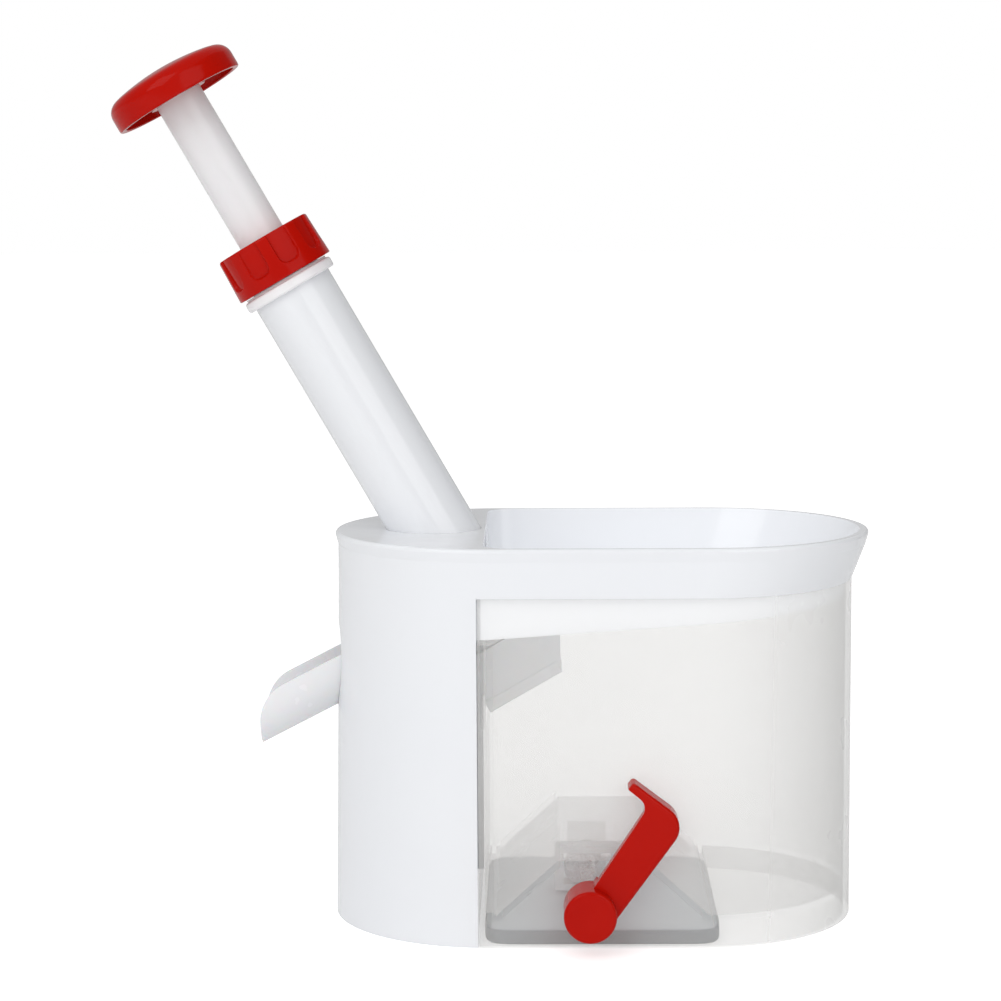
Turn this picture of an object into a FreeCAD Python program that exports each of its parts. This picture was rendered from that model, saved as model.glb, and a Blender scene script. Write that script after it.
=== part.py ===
import FreeCAD, Part
import math
import os

import Sketcher
from FreeCAD import Placement, Rotation, Vector

# Cherry pitter with a suction foot, in millimetres.
# +Z is up, +X runs from the chute to the pouring end of the hopper, -Y faces the lever.
# The origin is where the suction foot's axis meets the table.

DOC = FreeCAD.newDocument("cherry_pitter")
SHEET = DOC.addObject("Spreadsheet::Sheet", "sizes")


class Size:
    """A length or an angle of the sheet, or a sum of them: its value and its formula."""

    def __init__(self, value, text):
        self.value = value
        self.text = text

    def __add__(self, other):
        other = as_size(other)
        return Size(self.value + other.value, f"({self.text} + {other.text})")

    def __sub__(self, other):
        other = as_size(other)
        return Size(self.value - other.value, f"({self.text} - {other.text})")

    def __mul__(self, other):
        other = as_size(other)
        return Size(self.value * other.value, f"({self.text} * {other.text})")

    def __truediv__(self, other):
        other = as_size(other)
        return Size(self.value / other.value, f"({self.text} / {other.text})")

    def __neg__(self):
        return Size(-self.value, f"(0 - {self.text})")

    def __radd__(self, other):
        return as_size(other) + self

    def __rsub__(self, other):
        return as_size(other) - self

    def __rmul__(self, other):
        return as_size(other) * self


def as_size(number):
    """A plain number as a Size."""
    if isinstance(number, Size):
        return number
    return Size(float(number), repr(float(number)))


def sine(angle):
    """The sine of an angle in degrees."""
    return Size(math.sin(math.radians(angle.value)), f"sin({angle.text} * 1 deg)")


def cosine(angle):
    """The cosine of an angle in degrees."""
    return Size(math.cos(math.radians(angle.value)), f"cos({angle.text} * 1 deg)")


def size(alias, value, note):
    """Write one driving dimension into the next row of the sheet."""
    size.row += 1
    SHEET.set(f"A{size.row}", note)
    SHEET.set(f"B{size.row}", repr(value))
    SHEET.setAlias(f"B{size.row}", alias)
    return Size(float(value), f"sizes.{alias}")


size.row = 0

# Body of the machine
body_length = size("body_length", 176.4, "length of the oval body under its rim")
body_width = size("body_width", 107.4, "width of the oval body")
body_offset = size("body_offset", -1.6, "middle of the body, from the foot's axis")
shell_lean = size("shell_lean", 1.9, "how much further out the shell's left end is at the table")
rim_height = size("rim_height", 133.4, "table to the top of the rim")
skirt_height = size("skirt_height", 117.0, "table to the lower edge of the hopper's band")
shell_edge = size("shell_edge", -41.4, "right edge of the closed left shell")
housing_wall = size("housing_wall", 2.2, "wall of the white housing")
deck_wall = size("deck_wall", 2.6, "thickness of the closed deck")
flare = size("flare", 4.7, "how far the band leans out at the pouring end")
lip_out = size("lip_out", 1.2, "how far the rim leans out at the ends")
lip_side = size("lip_side", 0.6, "how far the rim leans out along the sides")
lip_height = size("lip_height", 4.4, "height of the rim")
lip_round = size("lip_round", 1.1, "rounding of the rim's outer edge")

# Hopper
opening_left = size("opening_left", -39.2, "left edge of the hopper's opening")
opening_corner = size("opening_corner", 9.0, "rounding of the opening's left corners")
floor_left = size("floor_left", 103.0, "underside of the hopper floor at its left end")
floor_right = size("floor_right", 111.6, "underside of the hopper floor at its right end")
floor_wall = size("floor_wall", 2.0, "thickness of the hopper floor")
chamber_half = size("chamber_half", 15.4, "half the width of the pitting chamber")
chamber_wall = size("chamber_wall", 1.8, "side walls of the pitting chamber")
chamber_left = size("chamber_left", -76.0, "left end of the chamber's side walls")

# Stone container
container_wall = size("container_wall", 2.0, "wall of the stone container")
container_gap = size("container_gap", 0.3, "gap between the container and the housing")
bowl_gap = size("bowl_gap", 0.5, "gap between the hopper bowl and the container's wall")
container_floor = size("container_floor", 10.5, "table to the top of the container's floor")
left_wall_top = size("left_wall_top", 101.5, "table to the top of the container's left wall")
notch_bottom = size("notch_bottom", 66.0, "table to the bottom of the notch for the duct")
notch_half = size("notch_half", 16.4, "half the width of that notch")
post_size = size("post_size", 3.2, "corner posts inside the left wall")
tunnel_foot_half = size("tunnel_foot_half", 35.3, "half the tunnel's width at the floor")
tunnel_top_half = size("tunnel_top_half", 14.9, "half the tunnel's width at its top")
tunnel_top = size("tunnel_top", 29.0, "table to the top of the tunnel")
leg_half = size("leg_half", 37.7, "half the spacing of the legs under the floor")
leg_wall = size("leg_wall", 1.6, "thickness of the legs")
leg_gap = size("leg_gap", 0.4, "legs to the suction plate")
leg_bottom = size("leg_bottom", 2.6, "table to the legs' ends beside the suction plate")

# Plunger axis
tilt = size("tilt", 30.0, "lean of the plunger from upright, in degrees")
plunger_x = size("plunger_x", -57.0, "where the plunger's axis crosses the deck")
tube_radius = size("tube_radius", 14.2, "outside radius of the guide tube")
tube_bore = size("tube_bore", 11.25, "bore radius of the guide tube")
tube_top = size("tube_top", 95.0, "deck to the top of the guide tube, along the axis")
tube_bottom = size("tube_bottom", -8.0, "deck to the lower end of the guide tube")
tube_fit = size("tube_fit", 0.05, "gap between the guide tube and the deck's hole")

# Bush, nut and seal at the top of the guide tube
collar_radius = size("collar_radius", 16.6, "radius of the bush's collar")
collar_height = size("collar_height", 3.6, "height of the bush's collar")
collar_gap = size("collar_gap", 1.0, "collar to the nut")
bush_wall_gap = size("bush_wall_gap", 0.05, "bush sleeve to the tube's bore")
bush_length = size("bush_length", 12.0, "length of the bush inside the tube")
neck_radius = size("neck_radius", 12.6, "radius of the bush's threaded neck")
neck_height = size("neck_height", 10.2, "neck above the collar")
slide_gap = size("slide_gap", 0.3, "radial gap round the plunger")
nut_height = size("nut_height", 15.6, "height of the union nut")
nut_radius = size("nut_radius", 17.6, "radius of the union nut at its foot")
nut_taper = size("nut_taper", 0.5, "how much narrower the nut is at its top")
nut_roof = size("nut_roof", 3.2, "thickness of the nut's roof")
nut_round = size("nut_round", 0.9, "rounding of the nut's top edge")
grip_count = size("grip_count", 9, "grip recesses round the nut")
grip_width = size("grip_width", 8.2, "width of a grip recess")
grip_length = size("grip_length", 12.0, "length of a grip recess")
grip_depth = size("grip_depth", 1.3, "depth of a grip recess")
grip_turn = size("grip_turn", 23.0, "turn of the first grip recess from the lever's side")
seal_height = size("seal_height", 2.0, "height of the seal ring")

# Plunger
plunger_radius = size("plunger_radius", 8.3, "radius of the plunger tube")
plunger_wall = size("plunger_wall", 1.6, "wall of the plunger tube")
plunger_top = size("plunger_top", 169.3, "deck to the knob's lower rim, at rest")
piston_bottom = size("piston_bottom", 76.0, "deck to the piston's underside, at rest")
piston_height = size("piston_height", 6.0, "height of the piston's land")
piston_plug = size("piston_plug", 14.0, "length of the piston inside the plunger tube")
knob_radius = size("knob_radius", 22.9, "radius of the knob")
knob_height = size("knob_height", 12.2, "height of the knob")
knob_side = size("knob_side", 6.4, "height of the knob's upright side")
knob_wall = size("knob_wall", 2.4, "wall of the knob")
knob_round = size("knob_round", 5.0, "rounding of the knob's shoulder")
knob_socket_wall = size("knob_socket_wall", 2.0, "wall of the knob's socket for the plunger tube")
pin_radius = size("pin_radius", 3.0, "radius of the pitting pin")
pin_tip = size("pin_tip", -6.0, "deck to the pin's tip, at rest")
pin_top = size("pin_top", 92.0, "deck to the pin's upper end, at rest")
holder_radius = size("holder_radius", 5.4, "radius of the pin holder")
holder_length = size("holder_length", 9.0, "length of the pin holder under the piston")

# Return spring
wire_radius = size("wire_radius", 0.6, "radius of the spring's wire")
wire_gap = size("wire_gap", 0.05, "spring to the piston at rest")
spring_radius = size("spring_radius", 9.2, "mean radius of the spring's coil")
spring_turns = size("spring_turns", 14, "number of turns")
washer_height = size("washer_height", 1.2, "thickness of the spring's seat washer")

# Stripper, seat and duct under the deck
stripper_height = size("stripper_height", 2.4, "thickness of the stripper's plate")
stripper_sleeve = size("stripper_sleeve", 4.0, "length of the stripper inside the tube")
seat_depth = size("seat_depth", 40.0, "deck to the top of the cherry seat, along the axis")
seat_height = size("seat_height", 4.0, "height of the cherry seat")
seat_radius = size("seat_radius", 11.6, "radius of the cherry seat")
seat_hole = size("seat_hole", 4.6, "radius of the hole for the stone")
duct_half = size("duct_half", 13.4, "half the width of the stone duct")
duct_wall = size("duct_wall", 1.8, "wall of the stone duct")
duct_bottom = size("duct_bottom", 63.4, "deck to the duct's open lower end")
duct_right = size("duct_right", -13.6, "right side of the duct")
duct_bead = size("duct_bead", 0.7, "how far the bead round the duct's mouth stands out")
duct_bead_height = size("duct_bead_height", 4.0, "height of that bead")

# Chute
chute_slope = size("chute_slope", 27.3, "slope of the chute, in degrees")
chute_radius = size("chute_radius", 13.8, "outside radius of the chute's trough")
chute_wall = size("chute_wall", 1.5, "wall of the chute")
chute_side = size("chute_side", 16.4, "height of the chute's sides above its bottom line")
chute_out = size("chute_out", 30.2, "bottom line outside the housing, along the slope")
chute_in = size("chute_in", 36.3, "bottom line inside the housing, along the slope")
chute_wall_z = size("chute_wall_z", 72.6, "height of the bottom line at the housing's wall")
chute_fit = size("chute_fit", 0.3, "gap round the chute in the housing's wall")
nose_round = size("nose_round", 15.0, "rounding of the chute's sides above its tip")

# Suction foot
cup_length = size("cup_length", 79.0, "length of the suction plate, along the body")
cup_width = size("cup_width", 100.4, "width of the suction plate")
cup_corner = size("cup_corner", 5.0, "rounding of the suction plate's corners")
cup_height = size("cup_height", 5.5, "height of the suction plate")
cup_rim = size("cup_rim", 5.0, "width of the cup's flat rim")
cup_hollow = size("cup_hollow", 2.4, "depth of the cup's hollow")
stem_radius = size("stem_radius", 6.0, "radius of the stem in the cup")
stem_width = size("stem_width", 27.0, "width of the stem's yoke")
stem_depth = size("stem_depth", 9.0, "depth of the stem's yoke, along the shaft")
stem_bar = size("stem_bar", 2.2, "bars above and below the yoke's window")
plate_radius = size("plate_radius", 12.0, "radius of the stem's clamping plate")
plate_height = size("plate_height", 1.0, "thickness of that plate")

# Lever and cam shaft
shaft_x = size("shaft_x", -4.4, "cam shaft's axis, from the foot's axis")
shaft_z = size("shaft_z", 14.2, "cam shaft's axis above the table")
shaft_radius = size("shaft_radius", 2.8, "radius of the cam shaft")
shaft_fit = size("shaft_fit", 0.06, "running gap round the cam shaft")
cam_radius = size("cam_radius", 5.2, "radius of the eccentric")
cam_offset = size("cam_offset", 2.8, "offset of the eccentric")
cam_gap = size("cam_gap", 0.3, "eccentric to the yoke's window")
hub_radius = size("hub_radius", 8.7, "radius of the lever's hub")
hub_gap = size("hub_gap", 0.3, "hub to the container's wall")
hub_depth = size("hub_depth", 15.2, "length of the lever's hub")
arm_lean = size("arm_lean", 36.0, "lean of the lever from upright at rest, in degrees")
arm_right = size("arm_right", 8.3, "hub's axis to the arm's straight edge")
arm_width = size("arm_width", 12.1, "width of the lever's arm at the hub")
arm_flare = size("arm_flare", 1.9, "how much wider the arm is under the finger tab")
arm_length = size("arm_length", 43.2, "hub's axis to the lever's outer corner")
arm_depth = size("arm_depth", 9.2, "depth of the finger tab and of the arm's flange")
arm_wall = size("arm_wall", 4.2, "thickness of the arm's face plate")
arm_set_back = size("arm_set_back", 5.4, "arm's face behind the hub's face")
tab_length = size("tab_length", 22.6, "length of the finger tab across the arm")
tab_rise = size("tab_rise", 0.5, "rise of the finger tab over its length")
tab_wall = size("tab_wall", 2.8, "thickness of the finger tab and of the flange")
corner_round = size("corner_round", 7.5, "rounding of the lever's outer corner")
crook_round = size("crook_round", 4.0, "rounding under the finger tab")
face_round = size("face_round", 1.3, "rounding along the arm's front edge")
clip_radius = size("clip_radius", 5.2, "radius of the shaft's retaining clip")
clip_wall = size("clip_wall", 0.8, "thickness of that clip")
bearing_gap = size("bearing_gap", 1.0, "clamping plate to the rear bearing wall")
bearing_wall = size("bearing_wall", 3.0, "thickness of the rear bearing wall")

# Sizes that follow from the driving ones
body_radius = body_width / 2
body_left = body_offset - body_length / 2
body_right = body_offset + body_length / 2
deck_under = rim_height - deck_wall
band_top = rim_height - lip_height
partition_left = opening_left - housing_wall
container_left = shell_edge + container_gap
container_inner_left = container_left + container_wall
container_inner_radius = body_radius - container_wall
container_inner_right = body_right - container_wall
container_underside = container_floor - container_wall
bowl_radius = container_inner_radius - bowl_gap
bowl_right = container_inner_right - bowl_gap
beyond = body_length


def bind(thing, prop, value):
    """Bind one property to a formula of the sheet."""
    thing.setExpression(prop, as_size(value).text)


def new_body(label):
    """A new PartDesign body with the label that names its file."""
    body = DOC.addObject("PartDesign::Body", label)
    body.Label = label
    return body


def sketch_on(body, role, name, lift=0):
    """A sketch on one of the body's own origin planes, lifted along the plane's normal."""
    plane = next(item for item in body.Origin.OriginFeatures if item.Role == role)
    sketch = body.newObject("Sketcher::SketchObject", name)
    sketch.AttachmentSupport = [(plane, "")]
    sketch.MapMode = "FlatFace"
    lift = as_size(lift)
    if lift.text != "0.0":
        sketch.AttachmentOffset = Placement(Vector(0, 0, lift.value), Rotation())
        bind(sketch, "AttachmentOffset.Base.z", lift)
    return sketch


def constrain(sketch, *parts, by=None):
    """Add one constraint; by is the formula of its value."""
    if by is None:
        return sketch.addConstraint(Sketcher.Constraint(*parts))
    index = sketch.addConstraint(Sketcher.Constraint(*parts, by.value))
    sketch.setExpression(f"Constraints[{index}]", by.text)
    return index


def fix_point(sketch, geometry, position, place):
    """Hold a point of the sketch at an x and a y, each a formula or 0."""
    for kind, axis, coordinate in zip(("DistanceX", "DistanceY"), (-2, -1), place):
        coordinate = as_size(coordinate)
        if coordinate.text == "0.0":
            constrain(sketch, "PointOnObject", geometry, position, axis)
        else:
            constrain(sketch, kind, -1, 1, geometry, position, by=coordinate)


def outline(sketch, corners):
    """A closed outline of straight lines through the corners."""
    places = [(as_size(x), as_size(y)) for x, y in corners]
    points = [Vector(x.value, y.value, 0) for x, y in places]
    first = sketch.GeometryCount
    count = len(points)
    for index in range(count):
        sketch.addGeometry(Part.LineSegment(points[index], points[(index + 1) % count]))
    for index in range(count):
        constrain(sketch, "Coincident", first + index, 2, first + (index + 1) % count, 1)
    for index, (x, y) in enumerate(places):
        fix_point(sketch, first + index, 1, (x.text == "0.0" and 0 or x, y.text == "0.0" and 0 or y))


def box_outline(sketch, left, right, low, high):
    """A rectangle between two x and two y."""
    outline(sketch, [(left, low), (right, low), (right, high), (left, high)])


def circle(sketch, place, radius):
    """A circle about a place."""
    x, y = as_size(place[0]), as_size(place[1])
    radius = as_size(radius)
    index = sketch.addGeometry(Part.Circle(Vector(x.value, y.value, 0), Vector(0, 0, 1), radius.value))
    fix_point(sketch, index, 3, place)
    constrain(sketch, "Radius", index, by=radius)


def arc(sketch, x, radius, start, end):
    """An arc whose middle lies on the sketch's x axis."""
    middle = Part.Circle(Vector(x.value, 0, 0), Vector(0, 0, 1), radius.value)
    return sketch.addGeometry(Part.ArcOfCircle(middle, start, end))


def oval(sketch, left, right, radius):
    """Two half circles joined by straight lines along x."""
    first, last = left + radius, right - radius
    half = math.pi / 2
    left_arc = arc(sketch, first, radius, half, 3 * half)
    right_arc = arc(sketch, last, radius, -half, half)
    low = sketch.addGeometry(Part.LineSegment(
        Vector(first.value, -radius.value, 0), Vector(last.value, -radius.value, 0)))
    high = sketch.addGeometry(Part.LineSegment(
        Vector(last.value, radius.value, 0), Vector(first.value, radius.value, 0)))
    constrain(sketch, "Tangent", left_arc, 2, low, 1)
    constrain(sketch, "Tangent", low, 2, right_arc, 1)
    constrain(sketch, "Tangent", right_arc, 2, high, 1)
    constrain(sketch, "Tangent", high, 2, left_arc, 1)
    constrain(sketch, "Horizontal", low)
    fix_point(sketch, left_arc, 3, (first, 0))
    fix_point(sketch, right_arc, 3, (last, 0))
    constrain(sketch, "Radius", right_arc, by=radius)


def half_oval(sketch, left, right, radius):
    """A straight left side, two sides along x and a half circle on the right."""
    last = right - radius
    half = math.pi / 2
    end = arc(sketch, last, radius, -half, half)
    corners = [Vector(left.value, -radius.value, 0), Vector(left.value, radius.value, 0)]
    low = sketch.addGeometry(Part.LineSegment(corners[0], Vector(last.value, -radius.value, 0)))
    high = sketch.addGeometry(Part.LineSegment(Vector(last.value, radius.value, 0), corners[1]))
    side = sketch.addGeometry(Part.LineSegment(corners[1], corners[0]))
    constrain(sketch, "Tangent", low, 2, end, 1)
    constrain(sketch, "Tangent", end, 2, high, 1)
    constrain(sketch, "Coincident", high, 2, side, 1)
    constrain(sketch, "Coincident", side, 2, low, 1)
    constrain(sketch, "Horizontal", low)
    constrain(sketch, "Horizontal", high)
    constrain(sketch, "Vertical", side)
    fix_point(sketch, end, 3, (last, 0))
    constrain(sketch, "Radius", end, by=radius)
    constrain(sketch, "DistanceX", -1, 1, side, 1, by=left)


def feature(body, kind, sketch, length=None, symmetric=False, reverse=False):
    """A pad or a pocket of a sketch; without a length a pocket goes right through."""
    result = body.newObject(f"PartDesign::{kind}", f"{sketch.Name}_{kind.lower()}")
    result.Profile = sketch
    if length is None:
        result.Type = "ThroughAll"
    else:
        result.Length = as_size(length).value
        bind(result, "Length", length)
    result.Midplane = symmetric
    result.Reversed = reverse
    body.Tip = result
    sketch.Visibility = False
    return result


def loft(body, kind, sketches):
    """A ruled loft through sketches of like outlines."""
    result = body.newObject(f"PartDesign::{kind}", f"{sketches[0].Name}_loft")
    result.Profile = sketches[0]
    result.Sections = sketches[1:]
    result.Ruled = True
    body.Tip = result
    return result


def turned(label, profile):
    """A body of revolution about z from a profile of radius and height."""
    body = new_body(label)
    sketch = sketch_on(body, "XZ_Plane", f"{label}_profile")
    outline(sketch, profile)
    turn = body.newObject("PartDesign::Revolution", f"{label}_turn")
    turn.Profile = sketch
    turn.ReferenceAxis = (sketch, ["V_Axis"])
    turn.Angle = 360
    body.Tip = turn
    return body


def rounded(body, name, radius, chosen, kind="Fillet"):
    """Round or chamfer the edges of the body's tip that a test chooses."""
    DOC.recompute()
    base = body.Tip
    edges = [f"Edge{index + 1}" for index, edge in enumerate(base.Shape.Edges) if chosen(edge)]
    if not edges:
        raise ValueError(f"{name}: no edge to round")
    result = body.newObject(f"PartDesign::{kind}", name)
    result.Base = (base, edges)
    bind(result, "Radius" if kind == "Fillet" else "Size", radius)
    body.Tip = result
    return result


def near(first, second):
    """Whether two lengths are the same to a hundredth of a millimetre."""
    return abs(first - as_size(second).value) < 0.01


def ring_at(radius, height):
    """A test for the round edge of a turned piece with that radius and height."""
    def chosen(edge):
        round_edge = hasattr(edge.Curve, "Radius") and hasattr(edge.Curve, "Center")
        return round_edge and near(edge.Curve.Radius, radius) and near(edge.Curve.Center.z, height)
    return chosen


def flat_at(height):
    """A test for edges that lie level at a height."""
    def chosen(edge):
        return all(near(vertex.Point.z, height) for vertex in edge.Vertexes)
    return chosen


def combine(body, kind, tools):
    """Cut other bodies out of a body or fuse them to it."""
    boolean = body.newObject("PartDesign::Boolean", f"{body.Name}_{kind.lower()}")
    boolean.Type = kind
    boolean.Group = tools
    body.Tip = boolean
    return boolean


def on_axis(body):
    """Stand a body, made with its axis along z, on the plunger's tilted axis."""
    body.Placement = Placement(
        Vector(plunger_x.value, 0, rim_height.value), Rotation(Vector(0, -1, 0), tilt.value))
    bind(body, "Placement.Base.x", plunger_x)
    bind(body, "Placement.Base.z", rim_height)
    bind(body, "Placement.Rotation.Angle", tilt)
    return body


def axis_place(across, along):
    """X and Z of a point given across and along the plunger's axis."""
    x = plunger_x + across * cosine(tilt) - along * sine(tilt)
    z = rim_height + across * sine(tilt) + along * cosine(tilt)
    return x, z


# Housing: the white moulding of left shell, deck and hopper, open below and to the right.

def hopper_void():
    """The space inside the hopper, above its sloping floor."""
    body = new_body("hopper_void")
    inner = bowl_radius - housing_wall
    low = sketch_on(body, "XY_Plane", "hopper_low", floor_left)
    opening_outline(low, opening_left, bowl_right - housing_wall, inner, opening_corner)
    feature(body, "Pad", low, skirt_height - floor_left)
    foot = sketch_on(body, "XY_Plane", "hopper_foot", skirt_height)
    opening_outline(foot, opening_left, bowl_right - housing_wall, inner, opening_corner)
    head = sketch_on(body, "XY_Plane", "hopper_head", rim_height)
    opening_outline(head, opening_left, body_right + flare - housing_wall,
                    body_radius - housing_wall + lip_side / 2, opening_corner)
    loft(body, "AdditiveLoft", [foot, head])
    floor = sketch_on(body, "XZ_Plane", "hopper_slope")
    outline(floor, [
        (opening_left - 1, floor_left - 1),
        (body_right, floor_left - 1),
        (body_right, floor_right + floor_wall),
        (opening_left - 1, floor_left + floor_wall)])
    feature(body, "Pocket", floor, body_width * 2, symmetric=True)
    return body


def deck_hole():
    """The guide tube's way through the deck."""
    body = new_body("deck_hole")
    sketch = sketch_on(body, "XY_Plane", "deck_hole_round", tube_bottom - stripper_height - 0.5)
    circle(sketch, (0, 0), tube_radius + tube_fit)
    feature(body, "Pad", sketch, tube_top)
    return on_axis(body)


def on_chute(body):
    """Stand a body, made with x down the chute, where the chute's bottom line leaves the wall."""
    body.Placement = Placement(
        Vector(body_left.value, 0, chute_wall_z.value), Rotation(Vector(0, 1, 0), 180 - chute_slope.value))
    return body


def chute_hole():
    """The round hole in the left wall for the chute."""
    body = new_body("chute_hole")
    sketch = sketch_on(body, "YZ_Plane", "chute_hole_round", -chute_radius)
    circle(sketch, (0, -chute_radius), chute_radius + chute_fit)
    feature(body, "Pad", sketch, chute_radius * 2)
    return on_chute(body)


def housing():
    """Left shell, deck, band, rim and hopper in one moulding."""
    body = new_body("housing")
    shell_foot = sketch_on(body, "XY_Plane", "shell_foot")
    left_end(shell_foot, body_left - shell_lean, shell_edge, body_radius)
    shell_head = sketch_on(body, "XY_Plane", "shell_head", skirt_height)
    left_end(shell_head, body_left, shell_edge, body_radius)
    loft(body, "AdditiveLoft", [shell_foot, shell_head])
    bowl = sketch_on(body, "XY_Plane", "bowl_outline", floor_left)
    half_oval(bowl, shell_edge - 1, bowl_right, bowl_radius)
    feature(body, "Pad", bowl, skirt_height - floor_left)
    band_foot = sketch_on(body, "XY_Plane", "band_foot", skirt_height)
    oval(band_foot, body_left, body_right, body_radius)
    band_head = sketch_on(body, "XY_Plane", "band_head", band_top)
    oval(band_head, body_left, body_right + flare, body_radius)
    loft(body, "AdditiveLoft", [band_foot, band_head])
    rim = sketch_on(body, "XY_Plane", "rim_outline", rim_height)
    oval(rim, body_left - lip_out, body_right + flare + lip_out, body_radius + lip_side)
    loft(body, "AdditiveLoft", [band_head, rim])
    rounded(body, "rim_round", lip_round, rim_edge(rim_height))
    under = sketch_on(body, "XZ_Plane", "under_floor")
    outline(under, [
        (shell_edge, -1),
        (beyond, -1),
        (beyond, floor_right + (beyond - body_right) * (floor_right - floor_left) / (body_right - opening_left)),
        (opening_left, floor_left),
        (shell_edge, floor_left)])
    feature(body, "Pocket", under, body_width * 2, symmetric=True)
    cavity_foot = sketch_on(body, "XY_Plane", "cavity_foot")
    left_end(cavity_foot, body_left - shell_lean + housing_wall, partition_left, body_radius - housing_wall)
    cavity_head = sketch_on(body, "XY_Plane", "cavity_head", deck_under)
    left_end(cavity_head, body_left + housing_wall, partition_left, body_radius - housing_wall)
    loft(body, "SubtractiveLoft", [cavity_foot, cavity_head])
    chute_edge_low = chute_line(chamber_left, chute_side + 1)
    chute_edge_high = chute_line(opening_left, chute_side + 1)
    walls = sketch_on(body, "XZ_Plane", "chamber_walls")
    outline(walls, [
        (chamber_left, chute_edge_low),
        (opening_left, chute_edge_high),
        (opening_left, deck_under + 0.2),
        (chamber_left, deck_under + 0.2)])
    feature(body, "Pad", walls, (chamber_half + chamber_wall) * 2, symmetric=True)
    chamber = sketch_on(body, "XZ_Plane", "chamber_space")
    outline(chamber, [
        (chamber_left - 1, floor_left - 20),
        (duct_right - 10, floor_left - 20),
        (duct_right - 10, floor_left + floor_wall + 3),
        (opening_left + 1, floor_left + floor_wall + 3),
        (opening_left + 1, deck_under),
        (chamber_left - 1, deck_under)])
    feature(body, "Pocket", chamber, chamber_half * 2, symmetric=True)
    combine(body, "Cut", [hopper_void(), deck_hole(), chute_hole()])
    return body


def rim_edge(height):
    """A test for the rim's outer edge at a height."""
    def chosen(edge):
        box = edge.BoundBox
        reach = max(abs(box.YMin), abs(box.YMax))
        return flat_at(height)(edge) and reach > (body_radius + lip_side).value - 0.01
    return chosen


def opening_outline(sketch, left, right, radius, corner):
    """A half oval whose two left corners are rounded."""
    last = right - radius
    first = left + corner
    turn = radius - corner
    half = math.pi / 2
    end = arc(sketch, last, radius, -half, half)
    high = sketch.addGeometry(Part.LineSegment(
        Vector(last.value, radius.value, 0), Vector(first.value, radius.value, 0)))
    high_corner = sketch.addGeometry(Part.ArcOfCircle(
        Part.Circle(Vector(first.value, turn.value, 0), Vector(0, 0, 1), corner.value), half, 2 * half))
    side = sketch.addGeometry(Part.LineSegment(
        Vector(left.value, turn.value, 0), Vector(left.value, -turn.value, 0)))
    low_corner = sketch.addGeometry(Part.ArcOfCircle(
        Part.Circle(Vector(first.value, -turn.value, 0), Vector(0, 0, 1), corner.value), 2 * half, 3 * half))
    low = sketch.addGeometry(Part.LineSegment(
        Vector(first.value, -radius.value, 0), Vector(last.value, -radius.value, 0)))
    chain = [end, high, high_corner, side, low_corner, low]
    for index, item in enumerate(chain):
        constrain(sketch, "Tangent", item, 2, chain[(index + 1) % len(chain)], 1)
    constrain(sketch, "Horizontal", low)
    constrain(sketch, "Horizontal", high)
    constrain(sketch, "Vertical", side)
    fix_point(sketch, end, 3, (last, 0))
    constrain(sketch, "Radius", end, by=radius)
    constrain(sketch, "Radius", high_corner, by=corner)
    constrain(sketch, "Radius", low_corner, by=corner)
    constrain(sketch, "DistanceX", -1, 1, side, 1, by=left)


def left_end(sketch, left, right, radius):
    """The left end of an oval, closed by a straight side at an x."""
    middle = left + radius
    reach = right.value - middle.value
    half = math.pi / 2
    if reach > 0:
        turn = half
    else:
        turn = math.acos(reach / radius.value)
    end = arc(sketch, middle, radius, turn, 2 * math.pi - turn)
    height = radius.value * math.sin(turn)
    side = sketch.addGeometry(Part.LineSegment(
        Vector(right.value, -height, 0), Vector(right.value, height, 0)))
    if reach > 0:
        low = sketch.addGeometry(Part.LineSegment(
            Vector(middle.value, -height, 0), Vector(right.value, -height, 0)))
        high = sketch.addGeometry(Part.LineSegment(
            Vector(right.value, height, 0), Vector(middle.value, height, 0)))
        constrain(sketch, "Tangent", end, 2, low, 1)
        constrain(sketch, "Coincident", low, 2, side, 1)
        constrain(sketch, "Coincident", side, 2, high, 1)
        constrain(sketch, "Tangent", high, 2, end, 1)
        constrain(sketch, "Horizontal", low)
        constrain(sketch, "Horizontal", high)
    else:
        constrain(sketch, "Coincident", end, 2, side, 1)
        constrain(sketch, "Coincident", side, 2, end, 1)
    constrain(sketch, "Vertical", side)
    fix_point(sketch, end, 3, (middle, 0))
    constrain(sketch, "Radius", end, by=radius)
    constrain(sketch, "DistanceX", -1, 1, side, 1, by=right)


def chute_line(x, above):
    """Height of a line parallel to the chute's bottom, a distance above it, at an x."""
    run = x - body_left
    return chute_wall_z + run * sine(chute_slope) / cosine(chute_slope) + above / cosine(chute_slope)


# Container: the clear stone bin with the tunnel for the suction foot's lever.

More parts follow.
